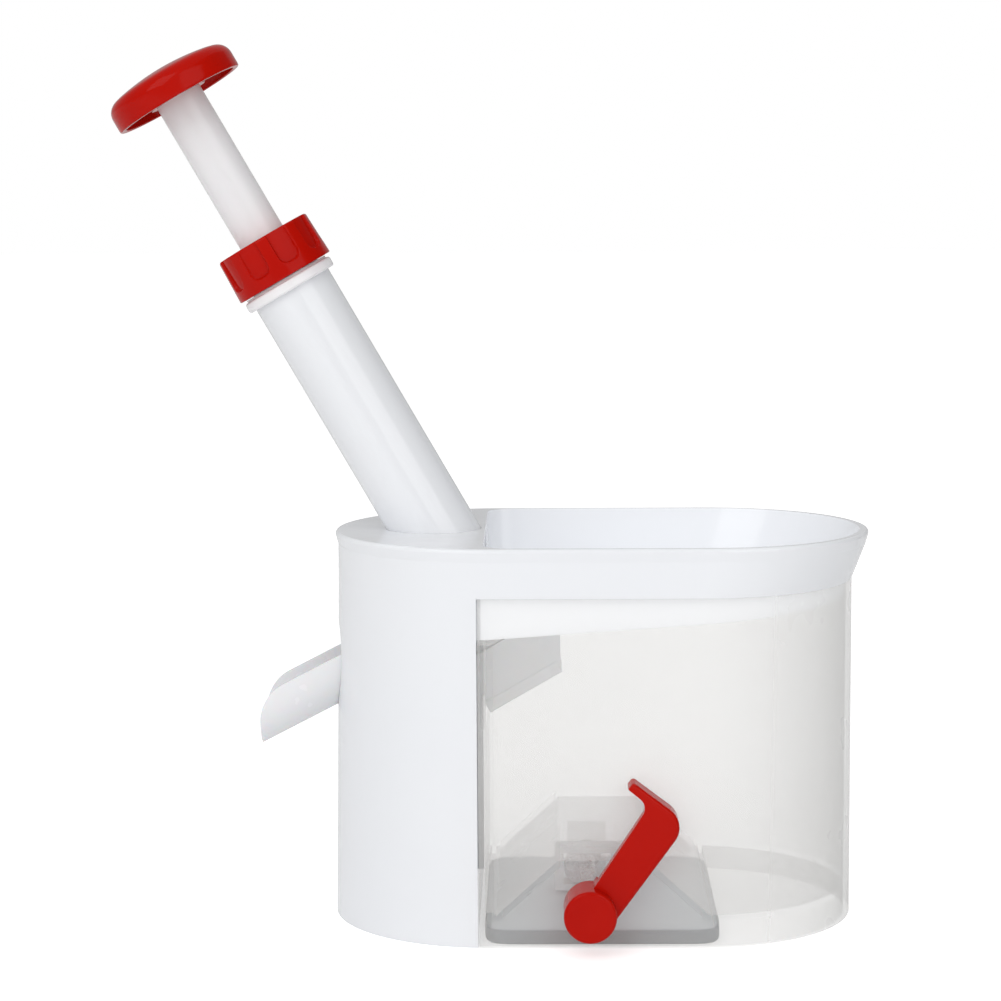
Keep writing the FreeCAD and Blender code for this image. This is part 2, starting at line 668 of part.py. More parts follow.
def container():
    """Stone bin whose skirt stands on the table, with a tunnel across its floor."""
    body = new_body("container")
    outer = sketch_on(body, "XY_Plane", "bin_outline")
    half_oval(outer, container_left, body_right, body_radius)
    feature(body, "Pad", outer, skirt_height)
    space = sketch_on(body, "XY_Plane", "bin_space", container_floor)
    half_oval(space, container_inner_left, container_inner_right, container_inner_radius)
    feature(body, "Pocket", space, skirt_height - container_floor, reverse=True)
    under = sketch_on(body, "XY_Plane", "bin_under")
    half_oval(under, container_inner_left, container_inner_right, container_inner_radius)
    feature(body, "Pocket", under, container_underside, reverse=True)
    depth = (body_radius - container_wall / 2) * 2
    tunnel = sketch_on(body, "XZ_Plane", "tunnel_outline")
    outline(tunnel, [
        (-tunnel_foot_half, container_underside),
        (tunnel_foot_half, container_underside),
        (tunnel_foot_half, container_floor),
        (tunnel_top_half, tunnel_top),
        (-tunnel_top_half, tunnel_top),
        (-tunnel_foot_half, container_floor)])
    feature(body, "Pad", tunnel, depth, symmetric=True)
    hollow = sketch_on(body, "XZ_Plane", "tunnel_hollow")
    inset = container_wall
    outline(hollow, [
        (-tunnel_foot_half + inset, container_underside - 1),
        (tunnel_foot_half - inset, container_underside - 1),
        (tunnel_foot_half - inset, container_floor - inset / 2),
        (tunnel_top_half - inset / 2, tunnel_top - inset),
        (-tunnel_top_half + inset / 2, tunnel_top - inset),
        (-tunnel_foot_half + inset, container_floor - inset / 2)])
    feature(body, "Pocket", hollow, container_inner_radius * 2, symmetric=True)
    legs = sketch_on(body, "XZ_Plane", "leg_outlines")
    for side in (-1, 1):
        middle = leg_half * side
        box_outline(legs, middle - leg_wall / 2, middle + leg_wall / 2,
                    cup_height + leg_gap, container_underside + 0.5)
    feature(body, "Pad", legs, depth, symmetric=True)
    leg_reach = container_inner_radius - cup_width / 2 - leg_gap
    for name, lift in (("front_leg_ends", cup_width / 2 + leg_gap), ("back_leg_ends", -container_inner_radius - 0.5)):
        ends = sketch_on(body, "XZ_Plane", name, lift)
        for side in (-1, 1):
            middle = leg_half * side
            box_outline(ends, middle - leg_wall / 2, middle + leg_wall / 2,
                        leg_bottom, cup_height + leg_gap + 1)
        feature(body, "Pad", ends, leg_reach + 0.5)
    top_cut = sketch_on(body, "YZ_Plane", "left_wall_cut", container_left - 1)
    half = container_inner_radius
    outline(top_cut, [
        (-half, left_wall_top),
        (-notch_half, left_wall_top),
        (-notch_half, notch_bottom),
        (notch_half, notch_bottom),
        (notch_half, left_wall_top),
        (half, left_wall_top),
        (half, skirt_height + 1),
        (-half, skirt_height + 1)])
    feature(body, "Pocket", top_cut, container_wall + 2, reverse=True)
    foot_cut = sketch_on(body, "XZ_Plane", "left_wall_foot")
    box_outline(foot_cut, container_left - 1, container_inner_left, -1, cup_height + leg_gap)
    feature(body, "Pocket", foot_cut, container_inner_radius * 2, symmetric=True)
    posts = sketch_on(body, "XY_Plane", "post_outlines", container_floor - 1)
    for side in (-1, 1):
        edge = container_inner_radius * side
        inner = edge - post_size * side
        low, high = (inner, edge) if side > 0 else (edge, inner)
        box_outline(posts, container_inner_left - 0.5, container_inner_left + post_size, low, high)
    feature(body, "Pad", posts, left_wall_top - container_floor + 1)
    boss = sketch_on(body, "XZ_Plane", "bearing_boss", container_inner_radius - 5)
    circle(boss, (shaft_x, shaft_z), shaft_radius + 3)
    feature(body, "Pad", boss, 5.5)
    wall_y = plate_radius + bearing_gap
    rear = sketch_on(body, "XZ_Plane", "rear_bearing", -wall_y - bearing_wall)
    box_outline(rear, shaft_x - shaft_radius - 4, shaft_x + shaft_radius + 4,
                cup_height + 1, tunnel_top - container_wall / 2)
    feature(body, "Pad", rear, bearing_wall)
    bore = sketch_on(body, "XZ_Plane", "shaft_bore", -wall_y - bearing_wall - 1)
    circle(bore, (shaft_x, shaft_z), shaft_radius + shaft_fit)
    feature(body, "Pocket", bore, beyond, reverse=True)
    return body


# Pieces on the plunger's axis: their z runs up the axis from the deck.

def guide_tube():
    """Tube through the deck that guides the plunger and holds its spring."""
    return on_axis(turned("guide_tube", [
        (tube_bore, tube_bottom),
        (tube_radius, tube_bottom),
        (tube_radius, tube_top),
        (tube_bore, tube_top)]))


def guide_bush():
    """Bush in the tube's mouth, with the collar and the neck that carries the nut."""
    top = tube_top + collar_height
    body = turned("guide_bush", [
        (plunger_radius + slide_gap, tube_top - bush_length),
        (tube_bore - bush_wall_gap, tube_top - bush_length),
        (tube_bore - bush_wall_gap, tube_top),
        (collar_radius, tube_top),
        (collar_radius, top),
        (collar_radius - 1.2, top),
        (collar_radius - 1.2, top + collar_gap - 0.2),
        (neck_radius, top + collar_gap - 0.2),
        (neck_radius, top + neck_height),
        (plunger_radius + slide_gap, top + neck_height)])
    rounded(body, "collar_round", 0.9, lambda edge: ring_at(collar_radius, tube_top)(edge)
            or ring_at(collar_radius, top)(edge))
    return on_axis(body)


def nut_base():
    """Where the union nut starts on the axis."""
    return tube_top + collar_height + collar_gap


def nut_seal():
    """Seal ring between the neck and the nut's roof."""
    base = tube_top + collar_height + neck_height
    return on_axis(turned("nut_seal", [
        (plunger_radius + slide_gap, base),
        (neck_radius - 1, base),
        (neck_radius - 1, base + seal_height),
        (plunger_radius + slide_gap, base + seal_height)]))


def union_nut():
    """Red union nut with U-shaped grip recesses round its side."""
    base = nut_base()
    top = base + nut_height
    body = turned("union_nut", [
        (neck_radius + slide_gap, base),
        (nut_radius, base),
        (nut_radius - nut_taper, top),
        (plunger_radius + slide_gap * 2, top),
        (plunger_radius + slide_gap * 2, top - nut_roof),
        (neck_radius + slide_gap, top - nut_roof)])
    rounded(body, "nut_round", nut_round, ring_at(nut_radius - nut_taper, top))
    reach = nut_radius - grip_depth
    recess = sketch_on(body, "XZ_Plane", "grip_recess", reach)
    aside = reach * sine(grip_turn)
    ahead = reach * cosine(grip_turn)
    recess.AttachmentOffset = Placement(
        Vector(aside.value, 0, ahead.value), Rotation(Vector(0, 1, 0), grip_turn.value))
    bind(recess, "AttachmentOffset.Base.x", aside)
    bind(recess, "AttachmentOffset.Base.z", ahead)
    bind(recess, "AttachmentOffset.Rotation.Angle", grip_turn)
    low = top - grip_length + grip_width / 2
    half = grip_width / 2
    left = recess.addGeometry(Part.LineSegment(
        Vector(-half.value, (top + 1).value, 0), Vector(-half.value, low.value, 0)))
    foot = recess.addGeometry(Part.ArcOfCircle(
        Part.Circle(Vector(0, low.value, 0), Vector(0, 0, 1), half.value), math.pi, 2 * math.pi))
    right = recess.addGeometry(Part.LineSegment(
        Vector(half.value, low.value, 0), Vector(half.value, (top + 1).value, 0)))
    lid = recess.addGeometry(Part.LineSegment(
        Vector(half.value, (top + 1).value, 0), Vector(-half.value, (top + 1).value, 0)))
    constrain(recess, "Tangent", left, 2, foot, 1)
    constrain(recess, "Tangent", foot, 2, right, 1)
    constrain(recess, "Coincident", right, 2, lid, 1)
    constrain(recess, "Coincident", lid, 2, left, 1)
    constrain(recess, "Vertical", left)
    constrain(recess, "Horizontal", lid)
    constrain(recess, "PointOnObject", foot, 3, -2)
    constrain(recess, "DistanceY", -1, 1, foot, 3, by=low)
    constrain(recess, "DistanceY", -1, 1, lid, 1, by=top + 1)
    constrain(recess, "Radius", foot, by=half)
    cut = feature(body, "Pocket", recess, nut_radius, reverse=True)
    pattern = body.newObject("PartDesign::PolarPattern", "grip_pattern")
    pattern.Originals = [cut]
    z_axis = next(item for item in body.Origin.OriginFeatures if item.Role == "Z_Axis")
    pattern.Axis = (z_axis, [""])
    pattern.Angle = 360
    pattern.Occurrences = int(grip_count.value)
    bind(pattern, "Occurrences", grip_count)
    body.Tip = pattern
    return on_axis(body)


def plunger_tube():
    """Hollow tube between the piston and the knob."""
    inner = plunger_radius - plunger_wall
    return on_axis(turned("plunger_tube", [
        (inner, piston_bottom + piston_height),
        (plunger_radius, piston_bottom + piston_height),
        (plunger_radius, plunger_top + knob_height - knob_wall),
        (inner, plunger_top + knob_height - knob_wall)]))


def knob():
    """Red push knob, hollow below, with a socket for the plunger tube."""
    top = plunger_top + knob_height
    roof = top - knob_wall
    socket = plunger_radius + tube_fit
    body = turned("knob", [
        (knob_radius - knob_wall, plunger_top),
        (knob_radius, plunger_top),
        (knob_radius - 0.3, plunger_top + knob_side),
        (knob_radius - knob_round, top - 1.2),
        (0, top),
        (0, roof),
        (socket, roof),
        (socket, plunger_top + 1),
        (socket + knob_socket_wall, plunger_top + 1),
        (socket + knob_socket_wall, roof),
        (knob_radius - knob_wall - knob_round * 0.8, roof - 0.5),
        (knob_radius - knob_wall, plunger_top + knob_side - 1.5)])
    rounded(body, "knob_shoulder", knob_round, lambda edge: ring_at(knob_radius - 0.3, plunger_top + knob_side)(edge)
            or ring_at(knob_radius - knob_round, top - 1.2)(edge))
    rounded(body, "knob_rim", 0.6, ring_at(knob_radius, plunger_top))
    return on_axis(body)


def piston():
    """Land that slides in the tube's bore, plugged into the plunger tube."""
    plug = plunger_radius - plunger_wall - tube_fit
    top = piston_bottom + piston_height
    return on_axis(turned("piston", [
        (pin_radius + tube_fit, piston_bottom),
        (tube_bore - slide_gap, piston_bottom),
        (tube_bore - slide_gap, top),
        (plug, top),
        (plug, top + piston_plug),
        (pin_radius + tube_fit, top + piston_plug)]))


def pin_holder():
    """Collet that grips the pin under the piston and centres the spring."""
    return on_axis(turned("pin_holder", [
        (pin_radius + tube_fit, piston_bottom - holder_length),
        (holder_radius - 1.2, piston_bottom - holder_length),
        (holder_radius, piston_bottom - holder_length + 2),
        (holder_radius, piston_bottom),
        (pin_radius + tube_fit, piston_bottom)]))


def pitting_pin():
    """Steel pin with a dished tip that pushes the stone out."""
    return on_axis(turned("pitting_pin", [
        (0, pin_tip + 1.2),
        (pin_radius - 0.5, pin_tip),
        (pin_radius, pin_tip + 1),
        (pin_radius, pin_top),
        (0, pin_top)]))


def stripper():
    """Plate in the tube's lower end that holds the cherry back from the rising pin."""
    hole = pin_radius + slide_gap
    return on_axis(turned("stripper", [
        (hole, tube_bottom - stripper_height),
        (tube_radius - 0.3, tube_bottom - stripper_height),
        (tube_radius - 0.3, tube_bottom),
        (tube_bore - tube_fit, tube_bottom),
        (tube_bore - tube_fit, tube_bottom + stripper_sleeve),
        (hole, tube_bottom + stripper_sleeve)]))


def spring_seat():
    """Washer under the spring's lower end."""
    base = tube_bottom + stripper_sleeve
    return on_axis(turned("spring_seat", [
        (pin_radius + slide_gap, base),
        (tube_bore - 0.2, base),
        (tube_bore - 0.2, base + washer_height),
        (pin_radius + slide_gap, base + washer_height)]))


def return_spring():
    """Compression spring: one unbroken tube along a helix, from biarcs of a quarter turn."""
    base = tube_bottom.value + stripper_sleeve.value + washer_height.value + wire_radius.value
    top = piston_bottom.value - wire_radius.value - wire_gap.value
    turns = int(spring_turns.value)
    radius = spring_radius.value
    ends = 1.0
    pitch_ends = 2.1 * wire_radius.value
    pitch = (top - base - 2 * ends * pitch_ends * 1.3) / (turns - 2 * ends)

    def height(turn):
        if turn < ends:
            return base + pitch_ends * 1.3 * turn
        if turn > turns - ends:
            return top - pitch_ends * 1.3 * (turns - turn)
        return base + pitch_ends * 1.3 * ends + pitch * (turn - ends)

    steps = 8

    def place(index):
        turn = index / steps
        angle = 2 * math.pi * turn
        return Vector(radius * math.cos(angle), radius * math.sin(angle), height(turn))

    edges = []
    for index in range(0, turns * steps, 2):
        start, middle, end = place(index), place(index + 1), place(index + 2)
        edges.append(Part.Arc(start, middle, end).toShape())
    path = Part.Wire(edges)
    tangent = path.Edges[0].tangentAt(path.Edges[0].FirstParameter)
    ring = Part.Wire(Part.Circle(place(0), tangent, wire_radius.value).toShape())
    tube = path.makePipeShell([ring], True, False)
    gap = min(
        place(first).distanceToPoint(place(second))
        for first in range(turns * steps + 1)
        for second in range(first + steps // 2, turns * steps + 1)) - 2 * wire_radius.value
    print(f"return spring: {turns} turns, least gap to itself {gap:.2f} mm")
    spring = DOC.addObject("Part::Feature", "return_spring")
    spring.Label = "return_spring"
    spring.Shape = tube
    return on_axis(spring)


# Seat, duct and chute under the deck.

def cherry_seat():
    """Soft dished ring in which the cherry sits while the stone is pushed out."""
    base = -seat_depth - seat_height
    return on_axis(turned("cherry_seat", [
        (seat_hole, base - duct_wall),
        (seat_radius - 2, base - duct_wall),
        (seat_radius - 2, base),
        (seat_radius, base),
        (seat_radius, -seat_depth),
        (seat_radius - 1.2, -seat_depth),
        (seat_hole, base + 1)]))


def stone_duct():
    """Duct that holds the seat and leads the stone into the container."""
    body = new_body("stone_duct")
    plate = -seat_depth - seat_height
    floor_rise = (floor_right - floor_left) / (body_right - opening_left)
    left_low = axis_place(-duct_half, -duct_bottom)
    right_low_z = chute_like(duct_right)
    left_high = axis_place(-duct_half, plate)
    right_high = axis_place(seat_radius + 1, plate)
    sides = sketch_on(body, "XZ_Plane", "duct_side")
    under_floor = floor_left + (duct_right - opening_left) * floor_rise
    outline(sides, [
        left_low,
        (duct_right, right_low_z),
        (duct_right, under_floor),
        (right_high[0], floor_left + (right_high[0] - opening_left) * floor_rise),
        right_high,
        left_high])
    feature(body, "Pad", sides, duct_half * 2, symmetric=True)
    rounded(body, "duct_corners", 3.0, duct_upright)
    channel = sketch_on(body, "XZ_Plane", "duct_channel")
    inner = duct_half - duct_wall
    low_left = axis_place(-inner, -duct_bottom - 2)
    high_left = axis_place(-inner, plate - duct_wall)
    high_right = axis_place(seat_radius - 1, plate - duct_wall)
    outline(channel, [
        low_left,
        (duct_right - duct_wall, chute_like(duct_right) - 4),
        (duct_right - duct_wall, under_floor - duct_wall),
        high_right,
        high_left])
    feature(body, "Pocket", channel, inner * 2, symmetric=True)
    combine(body, "Cut", [seat_socket(plate)])
    combine(body, "Fuse", [duct_mouth()])
    return body


def chute_like(x):
    """Height of the duct's open end, square to the plunger's axis, at an x."""
    low_x, low_z = axis_place(-duct_half, -duct_bottom)
    return low_z + (x - low_x) * sine(tilt) / cosine(tilt)


def duct_upright(edge):
    """The duct's long corners: straight edges along y at its lower right and upper left."""
    if len(edge.Vertexes) != 2:
        return False
    first, last = (vertex.Point for vertex in edge.Vertexes)
    along_y = abs(first.x - last.x) < 0.01 and abs(first.z - last.z) < 0.01
    return along_y and near(first.x, duct_right) and first.z < floor_left.value - 5


def seat_socket(plate):
    """The hole for the seat's spigot in the duct's top plate."""
    body = new_body("seat_socket")
    sketch = sketch_on(body, "XY_Plane", "seat_socket_round", plate - duct_wall - 1)
    circle(sketch, (0, 0), seat_radius - 2 + tube_fit)
    feature(body, "Pad", sketch, duct_wall + 2)
    return on_axis(body)


def duct_mouth():
    """Bead that stiffens the duct's open end."""
    body = new_body("duct_bead_ring")
    bead = sketch_on(body, "XY_Plane", "bead_outline", -duct_bottom)
    reach = duct_half + duct_bead
    inner = duct_half - duct_wall
    mouth_right = (duct_right - plunger_x - duct_bottom * sine(tilt)) / cosine(tilt)
    box_outline(bead, -reach, mouth_right + duct_bead, -reach, reach)
    box_outline(bead, -inner, mouth_right - duct_wall, -inner, inner)
    feature(body, "Pad", bead, duct_bead_height)
    return on_axis(body)


def chute():
    """White trough that carries the pitted cherries out through the left wall."""
    body = new_body("chute")
    trough = sketch_on(body, "YZ_Plane", "trough_outline", -chute_in)
    inner = chute_radius - chute_wall
    rise = chute_side - chute_radius
    half = chute_radius
    outer_arc = trough.addGeometry(Part.ArcOfCircle(
        Part.Circle(Vector(0, -half.value, 0), Vector(0, 0, 1), half.value), 0, math.pi))
    inner_arc = trough.addGeometry(Part.ArcOfCircle(
        Part.Circle(Vector(0, -half.value, 0), Vector(0, 0, 1), inner.value), 0, math.pi))
    low = -half - rise
    left_out = trough.addGeometry(Part.LineSegment(
        Vector(-half.value, -half.value, 0), Vector(-half.value, low.value, 0)))
    left_end = trough.addGeometry(Part.LineSegment(
        Vector(-half.value, low.value, 0), Vector(-inner.value, low.value, 0)))
    left_in = trough.addGeometry(Part.LineSegment(
        Vector(-inner.value, low.value, 0), Vector(-inner.value, -half.value, 0)))
    right_in = trough.addGeometry(Part.LineSegment(
        Vector(inner.value, -half.value, 0), Vector(inner.value, low.value, 0)))
    right_end = trough.addGeometry(Part.LineSegment(
        Vector(inner.value, low.value, 0), Vector(half.value, low.value, 0)))
    right_out = trough.addGeometry(Part.LineSegment(
        Vector(half.value, low.value, 0), Vector(half.value, -half.value, 0)))
    constrain(trough, "Tangent", outer_arc, 2, left_out, 1)
    constrain(trough, "Coincident", left_out, 2, left_end, 1)
    constrain(trough, "Coincident", left_end, 2, left_in, 1)
    constrain(trough, "Coincident", left_in, 2, inner_arc, 2)
    constrain(trough, "Coincident", inner_arc, 1, right_in, 1)
    constrain(trough, "Coincident", right_in, 2, right_end, 1)
    constrain(trough, "Coincident", right_end, 2, right_out, 1)
    constrain(trough, "Tangent", right_out, 2, outer_arc, 1)
    for line in (left_in, right_in):
        constrain(trough, "Vertical", line)
    for line in (left_end, right_end):
        constrain(trough, "Horizontal", line)
    constrain(trough, "Vertical", left_out)
    constrain(trough, "PointOnObject", outer_arc, 3, -2)
    constrain(trough, "Coincident", inner_arc, 3, outer_arc, 3)
    constrain(trough, "DistanceY", -1, 1, outer_arc, 3, by=-half)
    constrain(trough, "Radius", outer_arc, by=half)
    constrain(trough, "Radius", inner_arc, by=inner)
    constrain(trough, "DistanceY", -1, 1, left_end, 1, by=low)
    constrain(trough, "DistanceY", -1, 1, right_end, 1, by=low)
    feature(body, "Pad", trough, chute_in + chute_out)
    nose = sketch_on(body, "XZ_Plane", "nose_cut")
    tip = chute_out
    back = chute_side * sine(chute_slope) / cosine(chute_slope)
    outline(nose, [
        (tip, 0),
        (tip + 30, 0),
        (tip + 30, -chute_side - 5),
        (tip - back * (chute_side + 5) / chute_side, -chute_side - 5)])
    feature(body, "Pocket", nose, chute_radius * 4, symmetric=True)
    rounded(body, "nose_corners", nose_round, arm_corner(tip - back, -chute_side))
    return on_chute(body)


# Suction foot and its lever.

def suction_cup():
    """Rubber plate that grips the table; its flat rim is the foot's ring of contact."""
    body = new_body("suction_cup")
    plan = sketch_on(body, "XY_Plane", "cup_outline")
    rounded_box(plan, cup_length / 2, cup_width / 2, cup_corner)
    feature(body, "Pad", plan, cup_height)
    rounded(body, "cup_edge", 1.0, lambda edge: flat_at(cup_height)(edge))
    under = sketch_on(body, "XY_Plane", "cup_hollow_outline")
    rounded_box(under, cup_length / 2 - cup_rim, cup_width / 2 - cup_rim, cup_corner)
    feature(body, "Pocket", under, cup_hollow, reverse=True)
    hole = sketch_on(body, "XY_Plane", "spigot_hole", cup_hollow + 1.5)
    circle(hole, (0, 0), stem_radius + tube_fit)
    feature(body, "Pocket", hole, cup_height, reverse=True)
    return body


def rounded_box(sketch, half_x, half_y, corner):
    """A rectangle about the origin with rounded corners."""
    half = math.pi / 2
    turn_x = half_x - corner
    turn_y = half_y - corner
    corners = []
    for index, (side_x, side_y) in enumerate([(1, 1), (-1, 1), (-1, -1), (1, -1)]):
        middle = Vector(turn_x.value * side_x, turn_y.value * side_y, 0)
        corners.append(sketch.addGeometry(Part.ArcOfCircle(
            Part.Circle(middle, Vector(0, 0, 1), corner.value), half * index, half * (index + 1))))
    sides = []
    for index, item in enumerate(corners):
        start = sketch.Geometry[item].EndPoint
        end = sketch.Geometry[corners[(index + 1) % 4]].StartPoint
        sides.append(sketch.addGeometry(Part.LineSegment(start, end)))
    for index, item in enumerate(corners):
        constrain(sketch, "Tangent", item, 2, sides[index], 1)
        constrain(sketch, "Tangent", sides[index], 2, corners[(index + 1) % 4], 1)
        constrain(sketch, "Radius", item, by=corner)
    constrain(sketch, "Horizontal", sides[0])
    constrain(sketch, "Horizontal", sides[2])
    constrain(sketch, "Vertical", sides[1])
    constrain(sketch, "Vertical", sides[3])
    fix_point(sketch, corners[0], 3, (turn_x, turn_y))
    constrain(sketch, "DistanceX", corners[2], 3, -1, 1, by=turn_x)
    constrain(sketch, "DistanceY", corners[2], 3, -1, 1, by=turn_y)


def foot_stem():
    """Stem with a yoke round the eccentric and a spigot in the cup."""
    body = new_body("foot_stem")
    middle = shaft_x + stem_shift()
    low = shaft_z - cam_radius - cam_gap
    high = shaft_z + cam_radius + cam_gap
    yoke = sketch_on(body, "XZ_Plane", "yoke_outline")
    half = stem_width / 2
    box_outline(yoke, middle - half, middle + half, cup_height + plate_height, high + stem_bar)
    reach = cam_radius + cam_offset + cam_gap
    box_outline(yoke, shaft_x - reach, shaft_x + reach, low, high)
    feature(body, "Pad", yoke, stem_depth, symmetric=True)
    spigot = sketch_on(body, "XY_Plane", "spigot_outline", cup_hollow + 1.5)
    circle(spigot, (0, 0), stem_radius)
    feature(body, "Pad", spigot, cup_height + plate_height - cup_hollow - 1.5 + 0.5)
    return body


def stem_shift():
    """Middle of the yoke from the shaft: half way to the foot's axis."""
    return -shaft_x / 2


def stem_plate():
    """Steel washer between the yoke and the cup."""
    return turned("stem_plate", [
        (stem_radius + tube_fit, cup_height),
        (plate_radius, cup_height),
        (plate_radius, cup_height + plate_height),
        (stem_radius + tube_fit, cup_height + plate_height)])


def cam_shaft():
    """Shaft across the tunnel with the eccentric that lifts the yoke."""
    body = new_body("cam_shaft")
    wall_y = plate_radius + bearing_gap
    back_end = wall_y + bearing_wall + clip_wall + 2.5
    front_end = body_radius + hub_gap + 9
    rod = sketch_on(body, "XZ_Plane", "shaft_outline", -back_end)
    circle(rod, (shaft_x, shaft_z), shaft_radius)
    feature(body, "Pad", rod, back_end + front_end)
    cam = sketch_on(body, "XZ_Plane", "cam_outline")
    circle(cam, (shaft_x - cam_offset, shaft_z), cam_radius)
    feature(body, "Pad", cam, stem_depth - 1, symmetric=True)
    return body


def shaft_clip():
    """Spring clip that keeps the shaft in the rear bearing."""
    body = new_body("shaft_clip")
    wall_y = plate_radius + bearing_gap
    face = wall_y + bearing_wall + 0.3
    ring = sketch_on(body, "XZ_Plane", "clip_outline", -face - clip_wall)
    circle(ring, (shaft_x, shaft_z), clip_radius)
    circle(ring, (shaft_x, shaft_z), shaft_radius + 0.02)
    feature(body, "Pad", ring, clip_wall)
    return body


def lever():
    """Red lever: hub, arm and the bent finger tab, made upright and leaned to its place."""
    body = new_body("lever")
    back = body_radius + hub_gap
    front = back + hub_depth
    hub = sketch_on(body, "XZ_Plane", "hub_outline", back)
    circle(hub, (0, 0), hub_radius)
    feature(body, "Pad", hub, hub_depth)
    rounded(body, "hub_face", 1.1, hub_face(front))
    arm_front = front - arm_set_back
    arm = sketch_on(body, "XZ_Plane", "arm_outline", arm_front - arm_depth)
    left = arm_right - arm_width
    tip = arm_right - tab_length
    crook = left - arm_flare
    under = arm_length - tab_wall
    outline(arm, [
        (left, 0),
        (arm_right, 0),
        (arm_right, arm_length),
        (tip, arm_length + tab_rise),
        (tip, under + tab_rise),
        (crook, under)])
    feature(body, "Pad", arm, arm_depth)
    rounded(body, "outer_corner", corner_round, arm_corner(arm_right, arm_length))
    rounded(body, "crook", crook_round, arm_corner(crook, under))
    rounded(body, "tab_tip", 1.2, arm_corner(tip, arm_length + tab_rise))
    recess = sketch_on(body, "XZ_Plane", "arm_back", back)
    box_outline(recess, crook - 1, arm_right - tab_wall, hub_radius + 1, under - 1)
    feature(body, "Pocket", recess, arm_front - arm_wall - back, reverse=True)
    rounded(body, "face_edge", face_round, face_edge(arm_front))
    socket = sketch_on(body, "XZ_Plane", "hub_socket", back)
    circle(socket, (0, 0), shaft_radius + 0.02)
    feature(body, "Pocket", socket, 9.0, reverse=True)
    body.Placement = Placement(
        Vector(shaft_x.value, 0, shaft_z.value), Rotation(Vector(0, 1, 0), arm_lean.value))
    bind(body, "Placement.Base.x", shaft_x)
    bind(body, "Placement.Base.z", shaft_z)
    bind(body, "Placement.Rotation.Angle", arm_lean)
    return body


def arm_corner(x, z):
    """A test for the straight edge across the arm at a corner of its outline."""
    def chosen(edge):
        if len(edge.Vertexes) != 2:
            return False
        first, last = (vertex.Point for vertex in edge.Vertexes)
        along_y = abs(first.x - last.x) < 0.01 and abs(first.z - last.z) < 0.01
        return along_y and near(first.x, x) and near(first.z, z)
    return chosen


def face_edge(front):
    """A test for the arm's front edge along its straight side, outer corner and finger tab."""
    def chosen(edge):
        middle = edge.valueAt((edge.FirstParameter + edge.LastParameter) / 2)
        level = all(near(vertex.Point.y, -front) for vertex in edge.Vertexes) and near(middle.y, -front)
        beside = middle.x > arm_right.value - corner_round.value and middle.z > hub_radius.value
        above = middle.z > arm_length.value - 1
        return level and (beside or above)
    return chosen


def hub_face(front):
    """A test for the round edge of the hub's face."""
    def chosen(edge):
        round_edge = hasattr(edge.Curve, "Radius") and hasattr(edge.Curve, "Center")
        return round_edge and near(edge.Curve.Radius, hub_radius) and near(edge.Curve.Center.y, -front)
    return chosen


def check(pieces):
    """Stop if any object failed or any piece is not one or more valid solids."""
    DOC.recompute()
    for item in DOC.Objects:
        if "Invalid" in item.State or "Error" in item.State:
            raise RuntimeError(f"{item.Name} failed to build: {item.State}")
    for piece in pieces:
        shape = piece.Shape
        if shape.isNull() or not shape.isValid() or not shape.Solids:
            raise RuntimeError(f"{piece.Label} is not a valid solid")


PIECES = [
    housing(), container(), guide_tube(), guide_bush(), nut_seal(), union_nut(), plunger_tube(), knob(),
    piston(), pin_holder(), pitting_pin(), stripper(), spring_seat(), return_spring(), cherry_seat(),
    stone_duct(), chute(), suction_cup(), foot_stem(), stem_plate(), cam_shaft(), shaft_clip(), lever()]
check(PIECES)
os.makedirs("parts", exist_ok=True)
for piece in PIECES:
    piece.Shape.exportStep(os.path.join("parts", f"{piece.Label}.step"))
    print(f"{piece.Label}: {len(piece.Shape.Solids)} solid, {piece.Shape.Volume / 1000:.2f} cm3")
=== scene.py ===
import math
from functools import partial

import bpy
from mathutils import Matrix, Vector


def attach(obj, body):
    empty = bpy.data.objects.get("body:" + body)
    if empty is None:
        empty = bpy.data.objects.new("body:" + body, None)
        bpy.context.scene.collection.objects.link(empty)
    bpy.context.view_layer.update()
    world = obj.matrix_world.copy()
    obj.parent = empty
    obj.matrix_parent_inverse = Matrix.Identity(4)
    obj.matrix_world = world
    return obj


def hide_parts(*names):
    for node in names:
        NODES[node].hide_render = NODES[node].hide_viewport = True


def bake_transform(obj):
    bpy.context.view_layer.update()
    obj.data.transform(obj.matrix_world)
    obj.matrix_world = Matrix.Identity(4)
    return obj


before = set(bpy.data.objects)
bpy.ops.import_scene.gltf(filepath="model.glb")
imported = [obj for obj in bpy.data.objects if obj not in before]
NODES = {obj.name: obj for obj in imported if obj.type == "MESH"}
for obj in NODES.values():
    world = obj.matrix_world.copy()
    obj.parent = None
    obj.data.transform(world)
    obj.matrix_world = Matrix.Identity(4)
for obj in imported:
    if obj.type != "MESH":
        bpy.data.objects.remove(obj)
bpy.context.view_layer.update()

# Housing: the glossy white moulding of left shell, deck, band and hopper.
# It is injected in one piece from polypropylene, with a faint cool tint,
# and drops over the container's upper edge.
MM = 0.001


def new_material(name, colour, roughness, **inputs):
    """A principled material with its plain values on the shader's own sockets."""
    material = bpy.data.materials.new(name)
    material.use_nodes = True
    shader = material.node_tree.nodes["Principled BSDF"]
    shader.inputs["Base Color"].default_value = (*colour, 1)
    shader.inputs["Roughness"].default_value = roughness
    for socket, value in inputs.items():
        shader.inputs[socket.replace("_", " ")].default_value = value
    return material


def add_node(tree, kind, **settings):
    """A node of a tree with its settings."""
    node = tree.nodes.new(kind)
    for key, value in settings.items():
        setattr(node, key, value)
    return node


def calculate(tree, operation, *values):
    """A maths node on sockets and numbers; its result's socket."""
    node = add_node(tree, "ShaderNodeMath", operation=operation)
    for socket, value in zip(node.inputs, values):
        if isinstance(value, (int, float)):
            socket.default_value = value
        else:
            tree.links.new(value, socket)
    return node.outputs[0]


